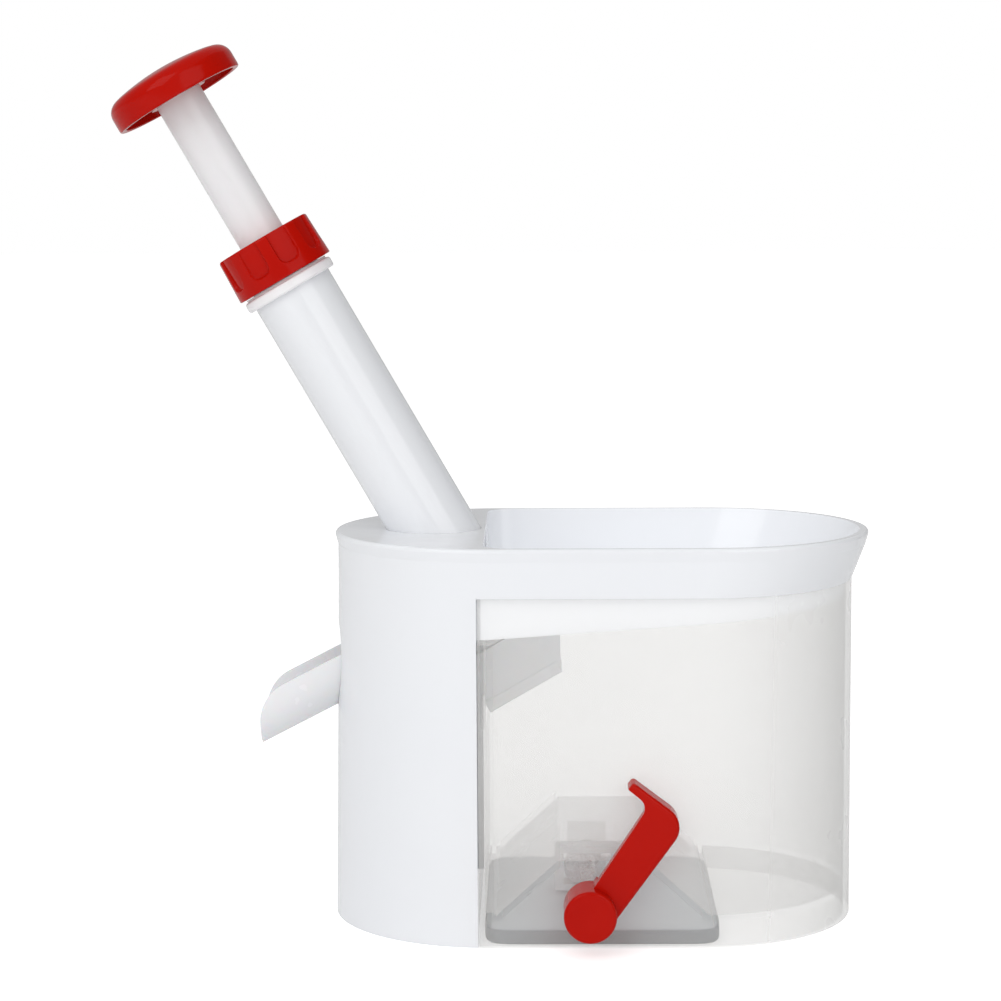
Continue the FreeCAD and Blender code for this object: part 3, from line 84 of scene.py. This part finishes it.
def axes(tree, source):
    """The x, y and z of a vector's socket."""
    split = add_node(tree, "ShaderNodeSeparateXYZ")
    tree.links.new(source, split.inputs[0])
    return split.outputs


def object_place(tree):
    """Object coordinates, which are the product's own frame in metres."""
    return add_node(tree, "ShaderNodeTexCoord").outputs["Object"]


def feed(material, output, socket):
    """Drive one socket of a material's shader."""
    tree = material.node_tree
    tree.links.new(output, tree.nodes["Principled BSDF"].inputs[socket])


def object_noise(tree, scale, detail):
    """Noise on Object coordinates."""
    noise = add_node(tree, "ShaderNodeTexNoise")
    noise.inputs["Scale"].default_value = scale
    noise.inputs["Detail"].default_value = detail
    tree.links.new(object_place(tree), noise.inputs["Vector"])
    return noise.outputs["Fac"]


def vary(material, socket, scale, low, high):
    """Drive a shader's colour or value by noise between two ends."""
    tree = material.node_tree
    ramp = add_node(tree, "ShaderNodeValToRGB")
    for end, position, value in zip(ramp.color_ramp.elements, (0.35, 0.65), (low, high)):
        end.position = position
        end.color = (*value, 1) if isinstance(value, tuple) else (value, value, value, 1)
    tree.links.new(object_noise(tree, scale, 3.0), ramp.inputs["Fac"])
    feed(material, ramp.outputs["Color"], socket)


def bump(material, scale, strength, distance):
    """Fine relief from noise."""
    tree = material.node_tree
    relief = add_node(tree, "ShaderNodeBump")
    relief.inputs["Strength"].default_value = strength
    relief.inputs["Distance"].default_value = distance
    tree.links.new(object_noise(tree, scale, 2.0), relief.inputs["Height"])
    feed(material, relief.outputs["Normal"], "Normal")


def dress(material, *nodes):
    """Give CAD nodes a material."""
    for node in nodes:
        mesh = NODES[node].data
        mesh.materials.clear()
        mesh.materials.append(material)


def painted_bowl_glow(material):
    """Painted glow below the band, beside the left shell: emission that stands in for light the milky
    container lets through.
    """
    band_foot, shell_side, strength = 116.6 * MM, -40.0 * MM, 0.24
    tree = material.node_tree
    place = axes(tree, object_place(tree))
    painted_glow_mask = calculate(tree, "MULTIPLY", calculate(tree, "LESS_THAN", place["Z"], band_foot),
                     calculate(tree, "GREATER_THAN", place["X"], shell_side))
    feed(material, calculate(tree, "MULTIPLY", painted_glow_mask, strength), "Emission Strength")


white_plastic = new_material("white_plastic", (0.88, 0.89, 0.91), 0.14, Specular_IOR_Level=0.5,
                             Subsurface_Weight=0.12, Subsurface_Radius=(1.0, 1.0, 1.0),
                             Subsurface_Scale=0.003, Emission_Color=(0.95, 0.97, 1.0, 1.0))
vary(white_plastic, "Base Color", 9.0, (0.872, 0.887, 0.918), (0.886, 0.90, 0.928))
vary(white_plastic, "Roughness", 60.0, 0.11, 0.17)
bump(white_plastic, 30.0, 0.12, 0.0003)
# Painted glow: the housing's wall below the band, beside the left shell, emits light in the material's
# emission colour.
painted_bowl_glow(white_plastic)
dress(white_plastic, "housing")

# Chute, stone duct and foot stem: a trough, a funnel and a post in the same plastic.
# All three are thin mouldings; the first two are clipped into the housing's walls.
duct_plastic = new_material("duct_plastic", (0.84, 0.85, 0.87), 0.26, Subsurface_Weight=0.2,
                            Subsurface_Scale=0.003)
vary(duct_plastic, "Base Color", 14.0, (0.83, 0.842, 0.862), (0.85, 0.86, 0.878))
vary(duct_plastic, "Roughness", 80.0, 0.22, 0.3)
bump(duct_plastic, 60.0, 0.1, 0.0002)
dress(duct_plastic, "chute", "stone_duct", "foot_stem")

# Guide tube: the smooth white tube that carries the plunger.
# It is moulded in a polished tool and pressed into the deck's hole.
tube_plastic = new_material("tube_plastic", (0.86, 0.87, 0.885), 0.08, Specular_IOR_Level=0.6,
                            Subsurface_Weight=0.12, Subsurface_Radius=(1.0, 1.0, 1.0),
                            Subsurface_Scale=0.003)
vary(tube_plastic, "Base Color", 12.0, (0.855, 0.868, 0.895), (0.868, 0.88, 0.905))
vary(tube_plastic, "Roughness", 50.0, 0.06, 0.1)
bump(tube_plastic, 25.0, 0.05, 0.0002)
dress(tube_plastic, "guide_tube")

# Container: the frosted stone bin with its tunnel for the foot.
# It is moulded in milky polypropylene, so what lies behind shows pale and soft,
# and an upright wall seen edge on looks denser and greyer.


def mix_colours(material, share, socket, low, high):
    """Drive a shader's colour or value by a share between two ends."""
    tree = material.node_tree
    mix = add_node(tree, "ShaderNodeMix", data_type="RGBA")
    mix.inputs["A"].default_value = (*low, 1)
    mix.inputs["B"].default_value = (*high, 1)
    tree.links.new(share, mix.inputs["Factor"])
    feed(material, mix.outputs["Result"], socket)


def edge_on_share(tree):
    """How far an upright wall is seen edge on; none on a level face."""
    slant = add_node(tree, "ShaderNodeLayerWeight")
    slant.inputs["Blend"].default_value = 0.38
    normal = add_node(tree, "ShaderNodeNewGeometry").outputs["True Normal"]
    flatness = calculate(tree, "ABSOLUTE", axes(tree, normal)["Z"])
    upright = calculate(tree, "SUBTRACT", 1.0, flatness)
    return calculate(tree, "MULTIPLY", upright, slant.outputs["Facing"])


# The frosted material carries a faint painted glow: emission that stands in for light scattered inside
# the milky walls.
frosted = new_material("frosted_plastic", (0.87, 0.862, 0.847), 0.3, Alpha=0.26, IOR=1.46,
                       Specular_IOR_Level=0.4, Emission_Color=(1.0, 0.985, 0.965, 1.0),
                       Emission_Strength=0.08)
vary(frosted, "Roughness", 40.0, 0.26, 0.36)
edge_on = edge_on_share(frosted.node_tree)
mix_colours(frosted, edge_on, "Alpha", (0.24, 0.24, 0.24), (0.62, 0.62, 0.62))
mix_colours(frosted, edge_on, "Base Color", (0.855, 0.847, 0.832), (0.62, 0.62, 0.615))
bump(frosted, 300.0, 0.05, 0.0001)
dress(frosted, "container")

# Plunger tube, piston, pin holder, stripper and bush: natural plastic parts.
# They are turned or moulded without pigment, so light gives them a faint pink warmth.
natural = new_material("natural_plastic", (0.90, 0.865, 0.885), 0.2, Subsurface_Weight=0.4,
                       Subsurface_Radius=(1.0, 0.85, 0.95), Subsurface_Scale=0.006)
vary(natural, "Base Color", 30.0, (0.935, 0.895, 0.935), (0.955, 0.925, 0.955))
vary(natural, "Roughness", 70.0, 0.17, 0.25)
bump(natural, 60.0, 0.08, 0.0002)
dress(natural, "plunger_tube", "guide_bush", "piston", "pin_holder", "stripper")

# Lever: the glossy red finger piece on the cam shaft's end.
# It is moulded in pigmented plastic with rounded edges; nut and knob are made of the same.
red_plastic = new_material("red_plastic", (0.47, 0.0052, 0.0012), 0.13, Specular_IOR_Level=0.1)
vary(red_plastic, "Base Color", 25.0, (0.455, 0.0044, 0.0010), (0.485, 0.006, 0.0016))
vary(red_plastic, "Roughness", 90.0, 0.10, 0.16)
bump(red_plastic, 120.0, 0.04, 0.0002)
dress(red_plastic, "lever")

# Union nut: the red ring with nine U-shaped grip recesses that holds the bush on its neck.
# Its wall follows one rule: the turned profile, pressed in wherever the angle and
# the height fall inside a recess.
AXIS = Matrix.Translation((-57.0 * MM, 0, 133.4 * MM)) @ Matrix.Rotation(math.radians(-30), 4, "Y")
NUT_BASE = 99.6 * MM
NUT_RADIUS = 17.6 * MM
NUT_HEIGHT = 15.6 * MM
NUT_TAPER = 0.5 * MM
NUT_BORE = 12.95 * MM
NUT_HOLE = 8.95 * MM
NUT_ROOF = 3.2 * MM
NUT_ROUND = 0.9 * MM
NUT_FOOT = 0.4 * MM
WALL_ROWS = 46
NUT_COLUMNS = 721
CORNER_POWER = 2.8
GRIP_SIZES = {"radius": NUT_RADIUS, "depth": 1.3 * MM, "width": 8.2 * MM,
              "top": NUT_HEIGHT, "length": 12.0 * MM, "edge": 0.45 * MM,
              "pitch": math.radians(40), "turn": math.radians(23)}


def nut_profile():
    """Radius and height of each row of the nut's wall, round its closed section."""
    rows = [(NUT_BORE, 0), (NUT_RADIUS - NUT_FOOT, 0), (NUT_RADIUS - 0.12 * MM, 0.12 * MM)]
    for step in range(WALL_ROWS + 1):
        share = step / WALL_ROWS
        rows.append((NUT_RADIUS - NUT_TAPER * share,
                     NUT_FOOT + (NUT_HEIGHT - NUT_ROUND - NUT_FOOT) * share))
    for degrees in range(15, 91, 15):
        angle = math.radians(degrees)
        rows.append((NUT_RADIUS - NUT_TAPER - NUT_ROUND * (1 - math.cos(angle)),
                     NUT_HEIGHT - NUT_ROUND * (1 - math.sin(angle))))
    rows += [(NUT_HOLE + 0.3 * MM, NUT_HEIGHT), (NUT_HOLE, NUT_HEIGHT - 0.3 * MM),
             (NUT_HOLE, NUT_HEIGHT - NUT_ROOF), (NUT_BORE, NUT_HEIGHT - NUT_ROOF), (NUT_BORE, 0)]
    return rows


def new_tree(name, sizes):
    """A geometry tree with one named input for each size."""
    tree = bpy.data.node_groups.new(name, "GeometryNodeTree")
    tree.is_modifier = True
    tree.interface.new_socket("Geometry", in_out="OUTPUT", socket_type="NodeSocketGeometry")
    sockets = {key: tree.interface.new_socket(key, in_out="INPUT", socket_type="NodeSocketFloat")
               for key in sizes}
    return tree, sockets, add_node(tree, "NodeGroupInput").outputs


def around(tree, radius, angle, height):
    """The place at a radius, an angle and a height about the axis."""
    place = add_node(tree, "ShaderNodeCombineXYZ")
    for socket, operation in (("X", "COSINE"), ("Y", "SINE")):
        share = calculate(tree, operation, angle)
        tree.links.new(calculate(tree, "MULTIPLY", radius, share), place.inputs[socket])
    tree.links.new(height, place.inputs["Z"])
    return place.outputs[0]


def move_to(tree, geometry, place):
    """Geometry with each point set in its place."""
    moved = add_node(tree, "GeometryNodeSetPosition")
    tree.links.new(geometry, moved.inputs["Geometry"])
    tree.links.new(place, moved.inputs["Position"])
    return moved.outputs[0]


def close_tree(tree, geometry, material):
    """End a tree in real geometry with its material."""
    real = add_node(tree, "GeometryNodeRealizeInstances")
    paint = add_node(tree, "GeometryNodeSetMaterial")
    paint.inputs["Material"].default_value = material
    result = add_node(tree, "NodeGroupOutput")
    tree.links.new(geometry, real.inputs[0])
    tree.links.new(real.outputs[0], paint.inputs["Geometry"])
    tree.links.new(paint.outputs[0], result.inputs[0])


def grow(name, tree, sockets, sizes, place, sharp):
    """Run a tree with its sizes and keep the result as a plain mesh set in its place."""
    carrier = bpy.data.objects.new(name + "_carrier", bpy.data.meshes.new(name + "_carrier"))
    bpy.context.scene.collection.objects.link(carrier)
    modifier = carrier.modifiers.new("grow", "NODES")
    modifier.node_group = tree
    for key, value in sizes.items():
        modifier[sockets[key].identifier] = value
    ready = carrier.evaluated_get(bpy.context.evaluated_depsgraph_get())
    mesh = bpy.data.meshes.new_from_object(ready)
    carrier.modifiers.remove(modifier)
    bpy.data.objects.remove(carrier)
    mesh.name = name
    mesh.transform(place)
    return add_piece(name, mesh, sharp)


def add_piece(name, mesh, sharp):
    """An object of a finished mesh, smooth apart from edges sharper than an angle."""
    mesh.shade_smooth()
    mesh.set_sharp_from_angle(angle=math.radians(sharp))
    piece = bpy.data.objects.new(name, mesh)
    bpy.context.scene.collection.objects.link(piece)
    return piece


def follow(tree, station, values):
    """A curve through evenly spaced values, read at a station from 0 to 1."""
    top = max(values)
    last = len(values) - 1
    curve = add_node(tree, "ShaderNodeFloatCurve")
    points = curve.mapping.curves[0].points
    for index, value in enumerate(values):
        share = index / last
        if index in (0, last):
            point = points[0 if index == 0 else -1]
        else:
            point = points.new(share, value / top)
        point.location = (share, value / top)
        point.handle_type = "VECTOR"
    curve.mapping.update()
    tree.links.new(station, curve.inputs["Value"])
    return calculate(tree, "MULTIPLY", curve.outputs[0], top)


def recess_share(tree, given, angle, height):
    """How deep a place on the wall lies in its nearest recess, from 0 outside to 1."""
    work = partial(calculate, tree)
    half_pitch = work("MULTIPLY", given["pitch"], 0.5)
    first = work("ADD", given["turn"], -math.pi / 2)
    turned_on = work("ADD", work("SUBTRACT", angle, first), half_pitch)
    beside = work("SUBTRACT", work("FLOORED_MODULO", turned_on, given["pitch"]), half_pitch)
    across = work("ABSOLUTE", work("MULTIPLY", beside, given["radius"]))
    half_width = work("MULTIPLY", given["width"], 0.5)
    foot = work("ADD", work("SUBTRACT", given["top"], given["length"]), half_width)
    below = work("ABSOLUTE", work("MINIMUM", work("SUBTRACT", height, foot), 0.0))
    powers = work("ADD", work("POWER", across, CORNER_POWER), work("POWER", below, CORNER_POWER))
    away = work("POWER", powers, 1 / CORNER_POWER)
    press = add_node(tree, "ShaderNodeMapRange", interpolation_type="SMOOTHSTEP")
    tree.links.new(work("SUBTRACT", half_width, away), press.inputs["Value"])
    tree.links.new(given["edge"], press.inputs["From Max"])
    return press.outputs[0]


def nut_tree(material):
    """The nut's rule: profile round the axis, pressed in at each recess."""
    rows = nut_profile()
    tree, sockets, given = new_tree("grip_nut", GRIP_SIZES)
    work = partial(calculate, tree)
    grid = add_node(tree, "GeometryNodeMeshGrid")
    for socket, value in zip(grid.inputs, (1.0, 1.0, NUT_COLUMNS, len(rows))):
        socket.default_value = value
    flat = axes(tree, add_node(tree, "GeometryNodeInputPosition").outputs[0])
    station = work("ADD", flat["Y"], 0.5)
    angle = work("MULTIPLY", flat["X"], math.tau)
    radius = follow(tree, station, [row[0] for row in rows])
    height = follow(tree, station, [row[1] for row in rows])
    floor_radius = work("MINIMUM", radius, work("SUBTRACT", given["radius"], given["depth"]))
    drop = work("MULTIPLY", work("SUBTRACT", radius, floor_radius),
                recess_share(tree, given, angle, height))
    place = around(tree, work("SUBTRACT", radius, drop), angle, height)
    weld = add_node(tree, "GeometryNodeMergeByDistance")
    weld.inputs["Distance"].default_value = 0.002 * MM
    tree.links.new(move_to(tree, grid.outputs["Mesh"], place), weld.inputs["Geometry"])
    close_tree(tree, weld.outputs[0], material)
    return tree, sockets


nut_rule, nut_sockets = nut_tree(red_plastic)
nut = grow("grip_nut", nut_rule, nut_sockets, GRIP_SIZES,
           AXIS @ Matrix.Translation((0, 0, NUT_BASE)), 50)
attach(nut, "nut")
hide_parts("union_nut")

# Knob: the wide domed cap for the palm, moulded hollow with a socket for the plunger.
# Its section is an upright side, a rounded shoulder and a low crown, turned once round,
# and it is pressed over the plunger's top.
KNOB_RIM = 169.3
KNOB_RADIUS = 23.15
KNOB_SIDE = 5.0
KNOB_SHOULDER = 5.0
CROWN_FOOT, CROWN_RISE, CROWN_REACH = 9.85, 2.3, 19.7
CROWN_START, CROWN_STEPS = 19.5, 12
SOCKET_RADIUS, SOCKET_WALL = 8.35, 2.0


def ring_faces(rings, count, spans):
    """Faces between neighbouring rings of a closed section, for a number of spans."""
    faces = []
    for ring in range(spans):
        here, there = ring * count, (ring + 1) % rings * count
        for row in range(count):
            after = (row + 1) % count
            faces.append((here + row, there + row, there + after, here + after))
    return faces


def turned(name, profile, segments, material):
    """A closed section, its radii and heights in millimetres, turned about the plunger's axis."""
    points = []
    for step in range(segments):
        angle = math.tau * step / segments
        points += [(radius * MM * math.cos(angle), radius * MM * math.sin(angle), height * MM)
                   for radius, height in profile]
    mesh = bpy.data.meshes.new(name)
    mesh.from_pydata(points, [], ring_faces(segments, len(profile), segments))
    mesh.transform(AXIS)
    mesh.materials.append(material)
    return add_piece(name, mesh, 40)


def knob_section():
    """Radius and height of the knob's section, from its rim over the crown to the socket."""
    rows = [(20.9, 0.25), (21.2, 0.0), (22.8, 0.0), (23.05, 0.25), (KNOB_RADIUS, 1.0),
            (KNOB_RADIUS, KNOB_SIDE)]
    for degrees in range(8, 73, 8):
        angle = math.radians(degrees)
        rows.append((KNOB_RADIUS - KNOB_SHOULDER * (1 - math.cos(angle)),
                     KNOB_SIDE + KNOB_SHOULDER * math.sin(angle)))
    for step in range(1, CROWN_STEPS):
        radius = CROWN_START * (1 - step / CROWN_STEPS)
        rows.append((radius, CROWN_FOOT + CROWN_RISE * (1 - (radius / CROWN_REACH) ** 2)))
    rows += [(0.05, CROWN_FOOT + CROWN_RISE), (0.05, 9.9), (SOCKET_RADIUS, 9.9),
             (SOCKET_RADIUS, 1.0), (SOCKET_RADIUS + SOCKET_WALL, 1.0),
             (SOCKET_RADIUS + SOCKET_WALL, 9.3), (15.5, 8.4), (18.5, 7.0), (20.3, 4.8), (20.8, 3.0)]
    return [(radius, height + KNOB_RIM) for radius, height in rows]


knob = turned("palm_knob", knob_section(), 144, red_plastic)
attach(knob, "plunger")
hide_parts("knob")

# Pin, shaft, clip, washer and clamping plate: bright steel parts.
# Pin and shaft are ground rod; the others are stamped from sheet.
steel = new_material("bright_steel", (0.62, 0.62, 0.63), 0.24, Metallic=1.0)
vary(steel, "Roughness", 400.0, 0.2, 0.32)
bump(steel, 700.0, 0.05, 0.0001)
dress(steel, "pitting_pin", "cam_shaft", "shaft_clip", "spring_seat", "stem_plate")

# Return spring: a compression coil of steel wire inside the guide tube.
# It stands on a washer and pushes the piston up; the end turns lie close.
COIL_TURNS = 14
TURN_STEPS = 36
WIRE_SIDES = 16
COIL_SIZES = {"turns": float(COIL_TURNS), "coil": 9.2 * MM, "wire": 0.6 * MM, "close": 1.638 * MM,
              "base": -2.8 * MM, "top": 75.35 * MM}


def coil_rise(tree, given, turn):
    """Height along the spring, where the first and last turn rise less than the rest."""
    work = partial(calculate, tree)
    turns, close = given["turns"], given["close"]
    first = work("MINIMUM", turn, 1.0)
    last = work("MAXIMUM", work("SUBTRACT", turn, work("SUBTRACT", turns, 1.0)), 0.0)
    middle = work("SUBTRACT", work("SUBTRACT", turn, first), last)
    reach = work("SUBTRACT", given["top"], given["base"])
    pitch = work("DIVIDE", work("SUBTRACT", reach, work("MULTIPLY", close, 2.0)),
                 work("SUBTRACT", turns, 2.0))
    near = work("MULTIPLY", work("ADD", first, last), close)
    rise = work("ADD", near, work("MULTIPLY", middle, pitch))
    return work("ADD", rise, given["base"])


def coil_tree(material):
    """The spring's rule: a round wire swept along a helix."""
    tree, sockets, given = new_tree("coil", COIL_SIZES)
    line = add_node(tree, "GeometryNodeCurvePrimitiveLine")
    fine = add_node(tree, "GeometryNodeResampleCurve")
    fine.inputs["Count"].default_value = COIL_TURNS * TURN_STEPS + 1
    tree.links.new(line.outputs[0], fine.inputs["Curve"])
    along = add_node(tree, "GeometryNodeSplineParameter").outputs["Factor"]
    turn = calculate(tree, "MULTIPLY", along, given["turns"])
    angle = calculate(tree, "MULTIPLY", turn, math.tau)
    place = around(tree, given["coil"], angle, coil_rise(tree, given, turn))
    section = add_node(tree, "GeometryNodeCurvePrimitiveCircle")
    section.inputs["Resolution"].default_value = WIRE_SIDES
    tree.links.new(given["wire"], section.inputs["Radius"])
    sweep = add_node(tree, "GeometryNodeCurveToMesh")
    sweep.inputs["Fill Caps"].default_value = True
    tree.links.new(move_to(tree, fine.outputs[0], place), sweep.inputs["Curve"])
    tree.links.new(section.outputs[0], sweep.inputs["Profile Curve"])
    close_tree(tree, sweep.outputs[0], material)
    return tree, sockets


coil_rule, coil_sockets = coil_tree(steel)
spring = grow("coil_spring", coil_rule, coil_sockets, COIL_SIZES, AXIS, 60)
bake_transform(spring)
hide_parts("return_spring")

# Cherry seat and nut seal: soft rings of pale silicone.
# The seat is a dished ring, held in the deck's socket, that the cherry sinks into
# while the stone is pushed out.
SEAT_SECTION = [
    (4.7, -44.9), (4.7, -43.3), (6.0, -42.6), (8.0, -41.5), (9.6, -40.6), (10.5, -40.15),
    (11.1, -40.05), (11.5, -40.3), (11.55, -41.0), (11.5, -43.8), (9.6, -43.95), (9.5, -45.3),
    (9.0, -45.6), (6.0, -45.5), (5.0, -45.3)]
silicone = new_material("pale_silicone", (0.80, 0.80, 0.79), 0.5, Subsurface_Weight=0.2,
                        Subsurface_Scale=0.002)
vary(silicone, "Roughness", 120.0, 0.45, 0.6)
bump(silicone, 250.0, 0.1, 0.0002)
dress(silicone, "nut_seal")
seat = turned("soft_seat", SEAT_SECTION, 96, silicone)
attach(seat, "housing")
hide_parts("cherry_seat")

# Suction plate: the blue-grey rubber foot, a moulded plate with a hollow underside.
# Its rim stays on the table while the stem lifts its middle. It is made in four
# sectors that meet on the plate's diagonals, each reaching from its rim to the stem.
PLATE_X, PLATE_Y = 39.4, 50.1
OUTLINE_POWER = 14
STEM_RADIUS = 6.4
SECTOR_STEPS = 40
EDGE_FOOT, EDGE_TOP = 4.7 * MM, 5.2 * MM
rubber = new_material("grey_rubber", (0.24, 0.285, 0.32), 0.42, Specular_IOR_Level=0.35)
# Painted light and shade: the rubber is pale on its top and near black on its sides below the rounded
# top edge, a painted highlight on top and painted shade on the sides.
painted_top_light_share = add_node(rubber.node_tree, "ShaderNodeMapRange")
painted_top_light_share.inputs["From Min"].default_value = EDGE_FOOT
painted_top_light_share.inputs["From Max"].default_value = EDGE_TOP
rubber.node_tree.links.new(axes(rubber.node_tree, object_place(rubber.node_tree))["Z"],
                           painted_top_light_share.inputs["Value"])
mix_colours(rubber, painted_top_light_share.outputs[0], "Base Color", (0.004, 0.04, 0.07), (0.70, 0.77, 0.82))
vary(rubber, "Roughness", 80.0, 0.38, 0.5)
bump(rubber, 200.0, 0.1, 0.0002)


def plate_section():
    """Share of the way out and height of each row round a sector's section."""
    top = [(step / 20, 5.35 - 0.25 * (step / 20) ** 2) for step in range(20)]
    rim = [(0.975, 5.05), (0.99, 4.8), (0.998, 4.3), (1.0, 3.6), (1.0, 1.0), (0.997, 0.4), (0.985, 0.05)]
    under = [(0.93, 0.02), (0.88, 0.05), (0.855, 0.5), (0.84, 2.2), (0.82, 2.6)]
    return top + rim + under + [(step / 10, 2.65) for step in range(7, -1, -1)]


def plate_point(angle, share, height):
    """A point between the stem's circle and the plate's rounded outline, from millimetres."""
    cos_a, sin_a = math.cos(angle), math.sin(angle)
    reach = (abs(cos_a / PLATE_X) ** OUTLINE_POWER
             + abs(sin_a / PLATE_Y) ** OUTLINE_POWER) ** (-1 / OUTLINE_POWER)
    radius = STEM_RADIUS + (reach - STEM_RADIUS) * share
    return (radius * cos_a * MM, radius * sin_a * MM, height * MM)


def plate_sector(name, start, end):
    """One quarter of the plate, from its rim to the stem."""
    section = plate_section()
    count = len(section)
    points = []
    for step in range(SECTOR_STEPS + 1):
        angle = start + (end - start) * step / SECTOR_STEPS
        points += [plate_point(angle, share, height) for share, height in section]
    faces = ring_faces(SECTOR_STEPS + 1, count, SECTOR_STEPS)
    faces.append(tuple(range(count - 1, -1, -1)))
    faces.append(tuple(range(SECTOR_STEPS * count, (SECTOR_STEPS + 1) * count)))
    mesh = bpy.data.meshes.new(name)
    mesh.from_pydata(points, [], faces)
    mesh.materials.append(rubber)
    sector = add_piece(name, mesh, 50)
    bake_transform(sector)
    return sector


corner_angle = math.atan2(PLATE_Y, PLATE_X)
sectors = [
    plate_sector("plate_right", -corner_angle, corner_angle),
    plate_sector("plate_back", corner_angle, math.pi - corner_angle),
    plate_sector("plate_left", math.pi - corner_angle, math.pi + corner_angle),
    plate_sector("plate_front", math.pi + corner_angle, math.tau - corner_angle)]
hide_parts("suction_cup")

# Table and studio: a plain pale floor, a white backdrop and two soft lamps.
# The floor keeps the shadow; both show white to the camera where nothing shades them.
# As a light the backdrop is weaker at the sides and has a darker panel on the right.
FLOOR_GLOW, FLOOR_GLOSS = 0.5, 0.1
BACKDROP_CAMERA, BACKDROP_LIGHT, BACKDROP_GLOSS = 1.0, 0.77, 0.45
SIDE_FALL, DARK_PANEL = 0.22, 0.6
PANEL_SIDE, PANEL_NEAR, PANEL_FAR = 0.5, -0.5, 0.72


def seen_level(tree, seen, gloss, other):
    """A level for camera and see-through rays, one for reflections, and one for the light itself."""
    rays = add_node(tree, "ShaderNodeLightPath").outputs
    direct = calculate(tree, "MAXIMUM", rays["Is Camera Ray"], rays["Is Transmission Ray"])
    shine = calculate(tree, "MULTIPLY", rays["Is Glossy Ray"], gloss - other)
    sight = calculate(tree, "MULTIPLY", direct, seen - other)
    return calculate(tree, "ADD", calculate(tree, "ADD", shine, sight), other)


def backdrop_shade(tree):
    """One to the camera; for all other rays less at the sides, and least in the dark panel."""
    work = partial(calculate, tree)
    way = axes(tree, add_node(tree, "ShaderNodeTexCoord").outputs["Generated"])
    depth_range = work("MULTIPLY", work("GREATER_THAN", way["Y"], PANEL_NEAR),
                       work("LESS_THAN", way["Y"], PANEL_FAR))
    panel = work("MULTIPLY", work("GREATER_THAN", way["X"], PANEL_SIDE), depth_range)
    side_fall = work("MULTIPLY", work("MULTIPLY", way["X"], way["X"]), SIDE_FALL)
    fall = work("ADD", side_fall, work("MULTIPLY", panel, DARK_PANEL))
    camera_ray = add_node(tree, "ShaderNodeLightPath").outputs["Is Camera Ray"]
    return work("SUBTRACT", 1.0, work("MULTIPLY", fall, work("SUBTRACT", 1.0, camera_ray)))


def lamp(name, place, target, size, power):
    """A square soft lamp aimed at a point."""
    data = bpy.data.lights.new(name, "AREA")
    data.shape = "SQUARE"
    data.size = size
    data.energy = power
    item = bpy.data.objects.new(name, data)
    bpy.context.scene.collection.objects.link(item)
    item.location = place
    item.rotation_mode = "QUATERNION"
    item.rotation_quaternion = (Vector(target) - Vector(place)).to_track_quat("-Z", "Y")


floor_mesh = bpy.data.meshes.new("floor")
floor_mesh.from_pydata([(-6, -6, 0), (6, -6, 0), (6, 6, 0), (-6, 6, 0)], [], [(0, 1, 2, 3)])
floor = bpy.data.objects.new("floor", floor_mesh)
bpy.context.scene.collection.objects.link(floor)
floor_paint = new_material("floor_paint", (0.9, 0.9, 0.9), 0.6, Emission_Color=(1, 1, 1, 1))
feed(floor_paint, seen_level(floor_paint.node_tree, FLOOR_GLOW, FLOOR_GLOSS, 0.0), "Emission Strength")
floor_mesh.materials.append(floor_paint)

world = bpy.data.worlds.new("studio")
bpy.context.scene.world = world
world.use_nodes = True
sky = world.node_tree
backdrop = sky.nodes["Background"]
backdrop.inputs["Color"].default_value = (1, 1, 1, 1)
studio_level = seen_level(sky, BACKDROP_CAMERA, BACKDROP_GLOSS, BACKDROP_LIGHT)
sky.links.new(calculate(sky, "MULTIPLY", studio_level, backdrop_shade(sky)), backdrop.inputs["Strength"])

AIM = (0.0, 0.0, 0.12)
lamp("left_softbox", (-0.75, -1.15, 1.0), AIM, 1.1, 6.2)
lamp("right_softbox", (0.85, -1.25, 0.8), AIM, 1.2, 4.6)

# Camera: a long lens a metre away, a little above the rim.
# Its turn, tilt and slight roll are those of the photographer's stand.
FOCAL_PIXELS = 2870.0
FRAME_PIXELS = 1001.0
SENSOR = 36.0
HEADING, PITCH, ROLL = 0.82, 7.11, -0.328
camera_data = bpy.data.cameras.new("camera")
camera_data.sensor_width = SENSOR
camera_data.lens = SENSOR * FOCAL_PIXELS / FRAME_PIXELS
camera = bpy.data.objects.new("camera", camera_data)
bpy.context.scene.collection.objects.link(camera)
camera.location = (-0.0199, -0.97935, 0.265)
turn = Matrix.Rotation(math.radians(HEADING), 4, "Z")
look = Matrix.Rotation(math.radians(90 - PITCH), 4, "X")
roll = Matrix.Rotation(math.radians(ROLL), 4, "Z")
camera.rotation_mode = "QUATERNION"
camera.rotation_quaternion = (turn @ look @ roll).to_quaternion()
bpy.context.scene.camera = camera
bpy.context.scene.view_settings.view_transform = "Standard"
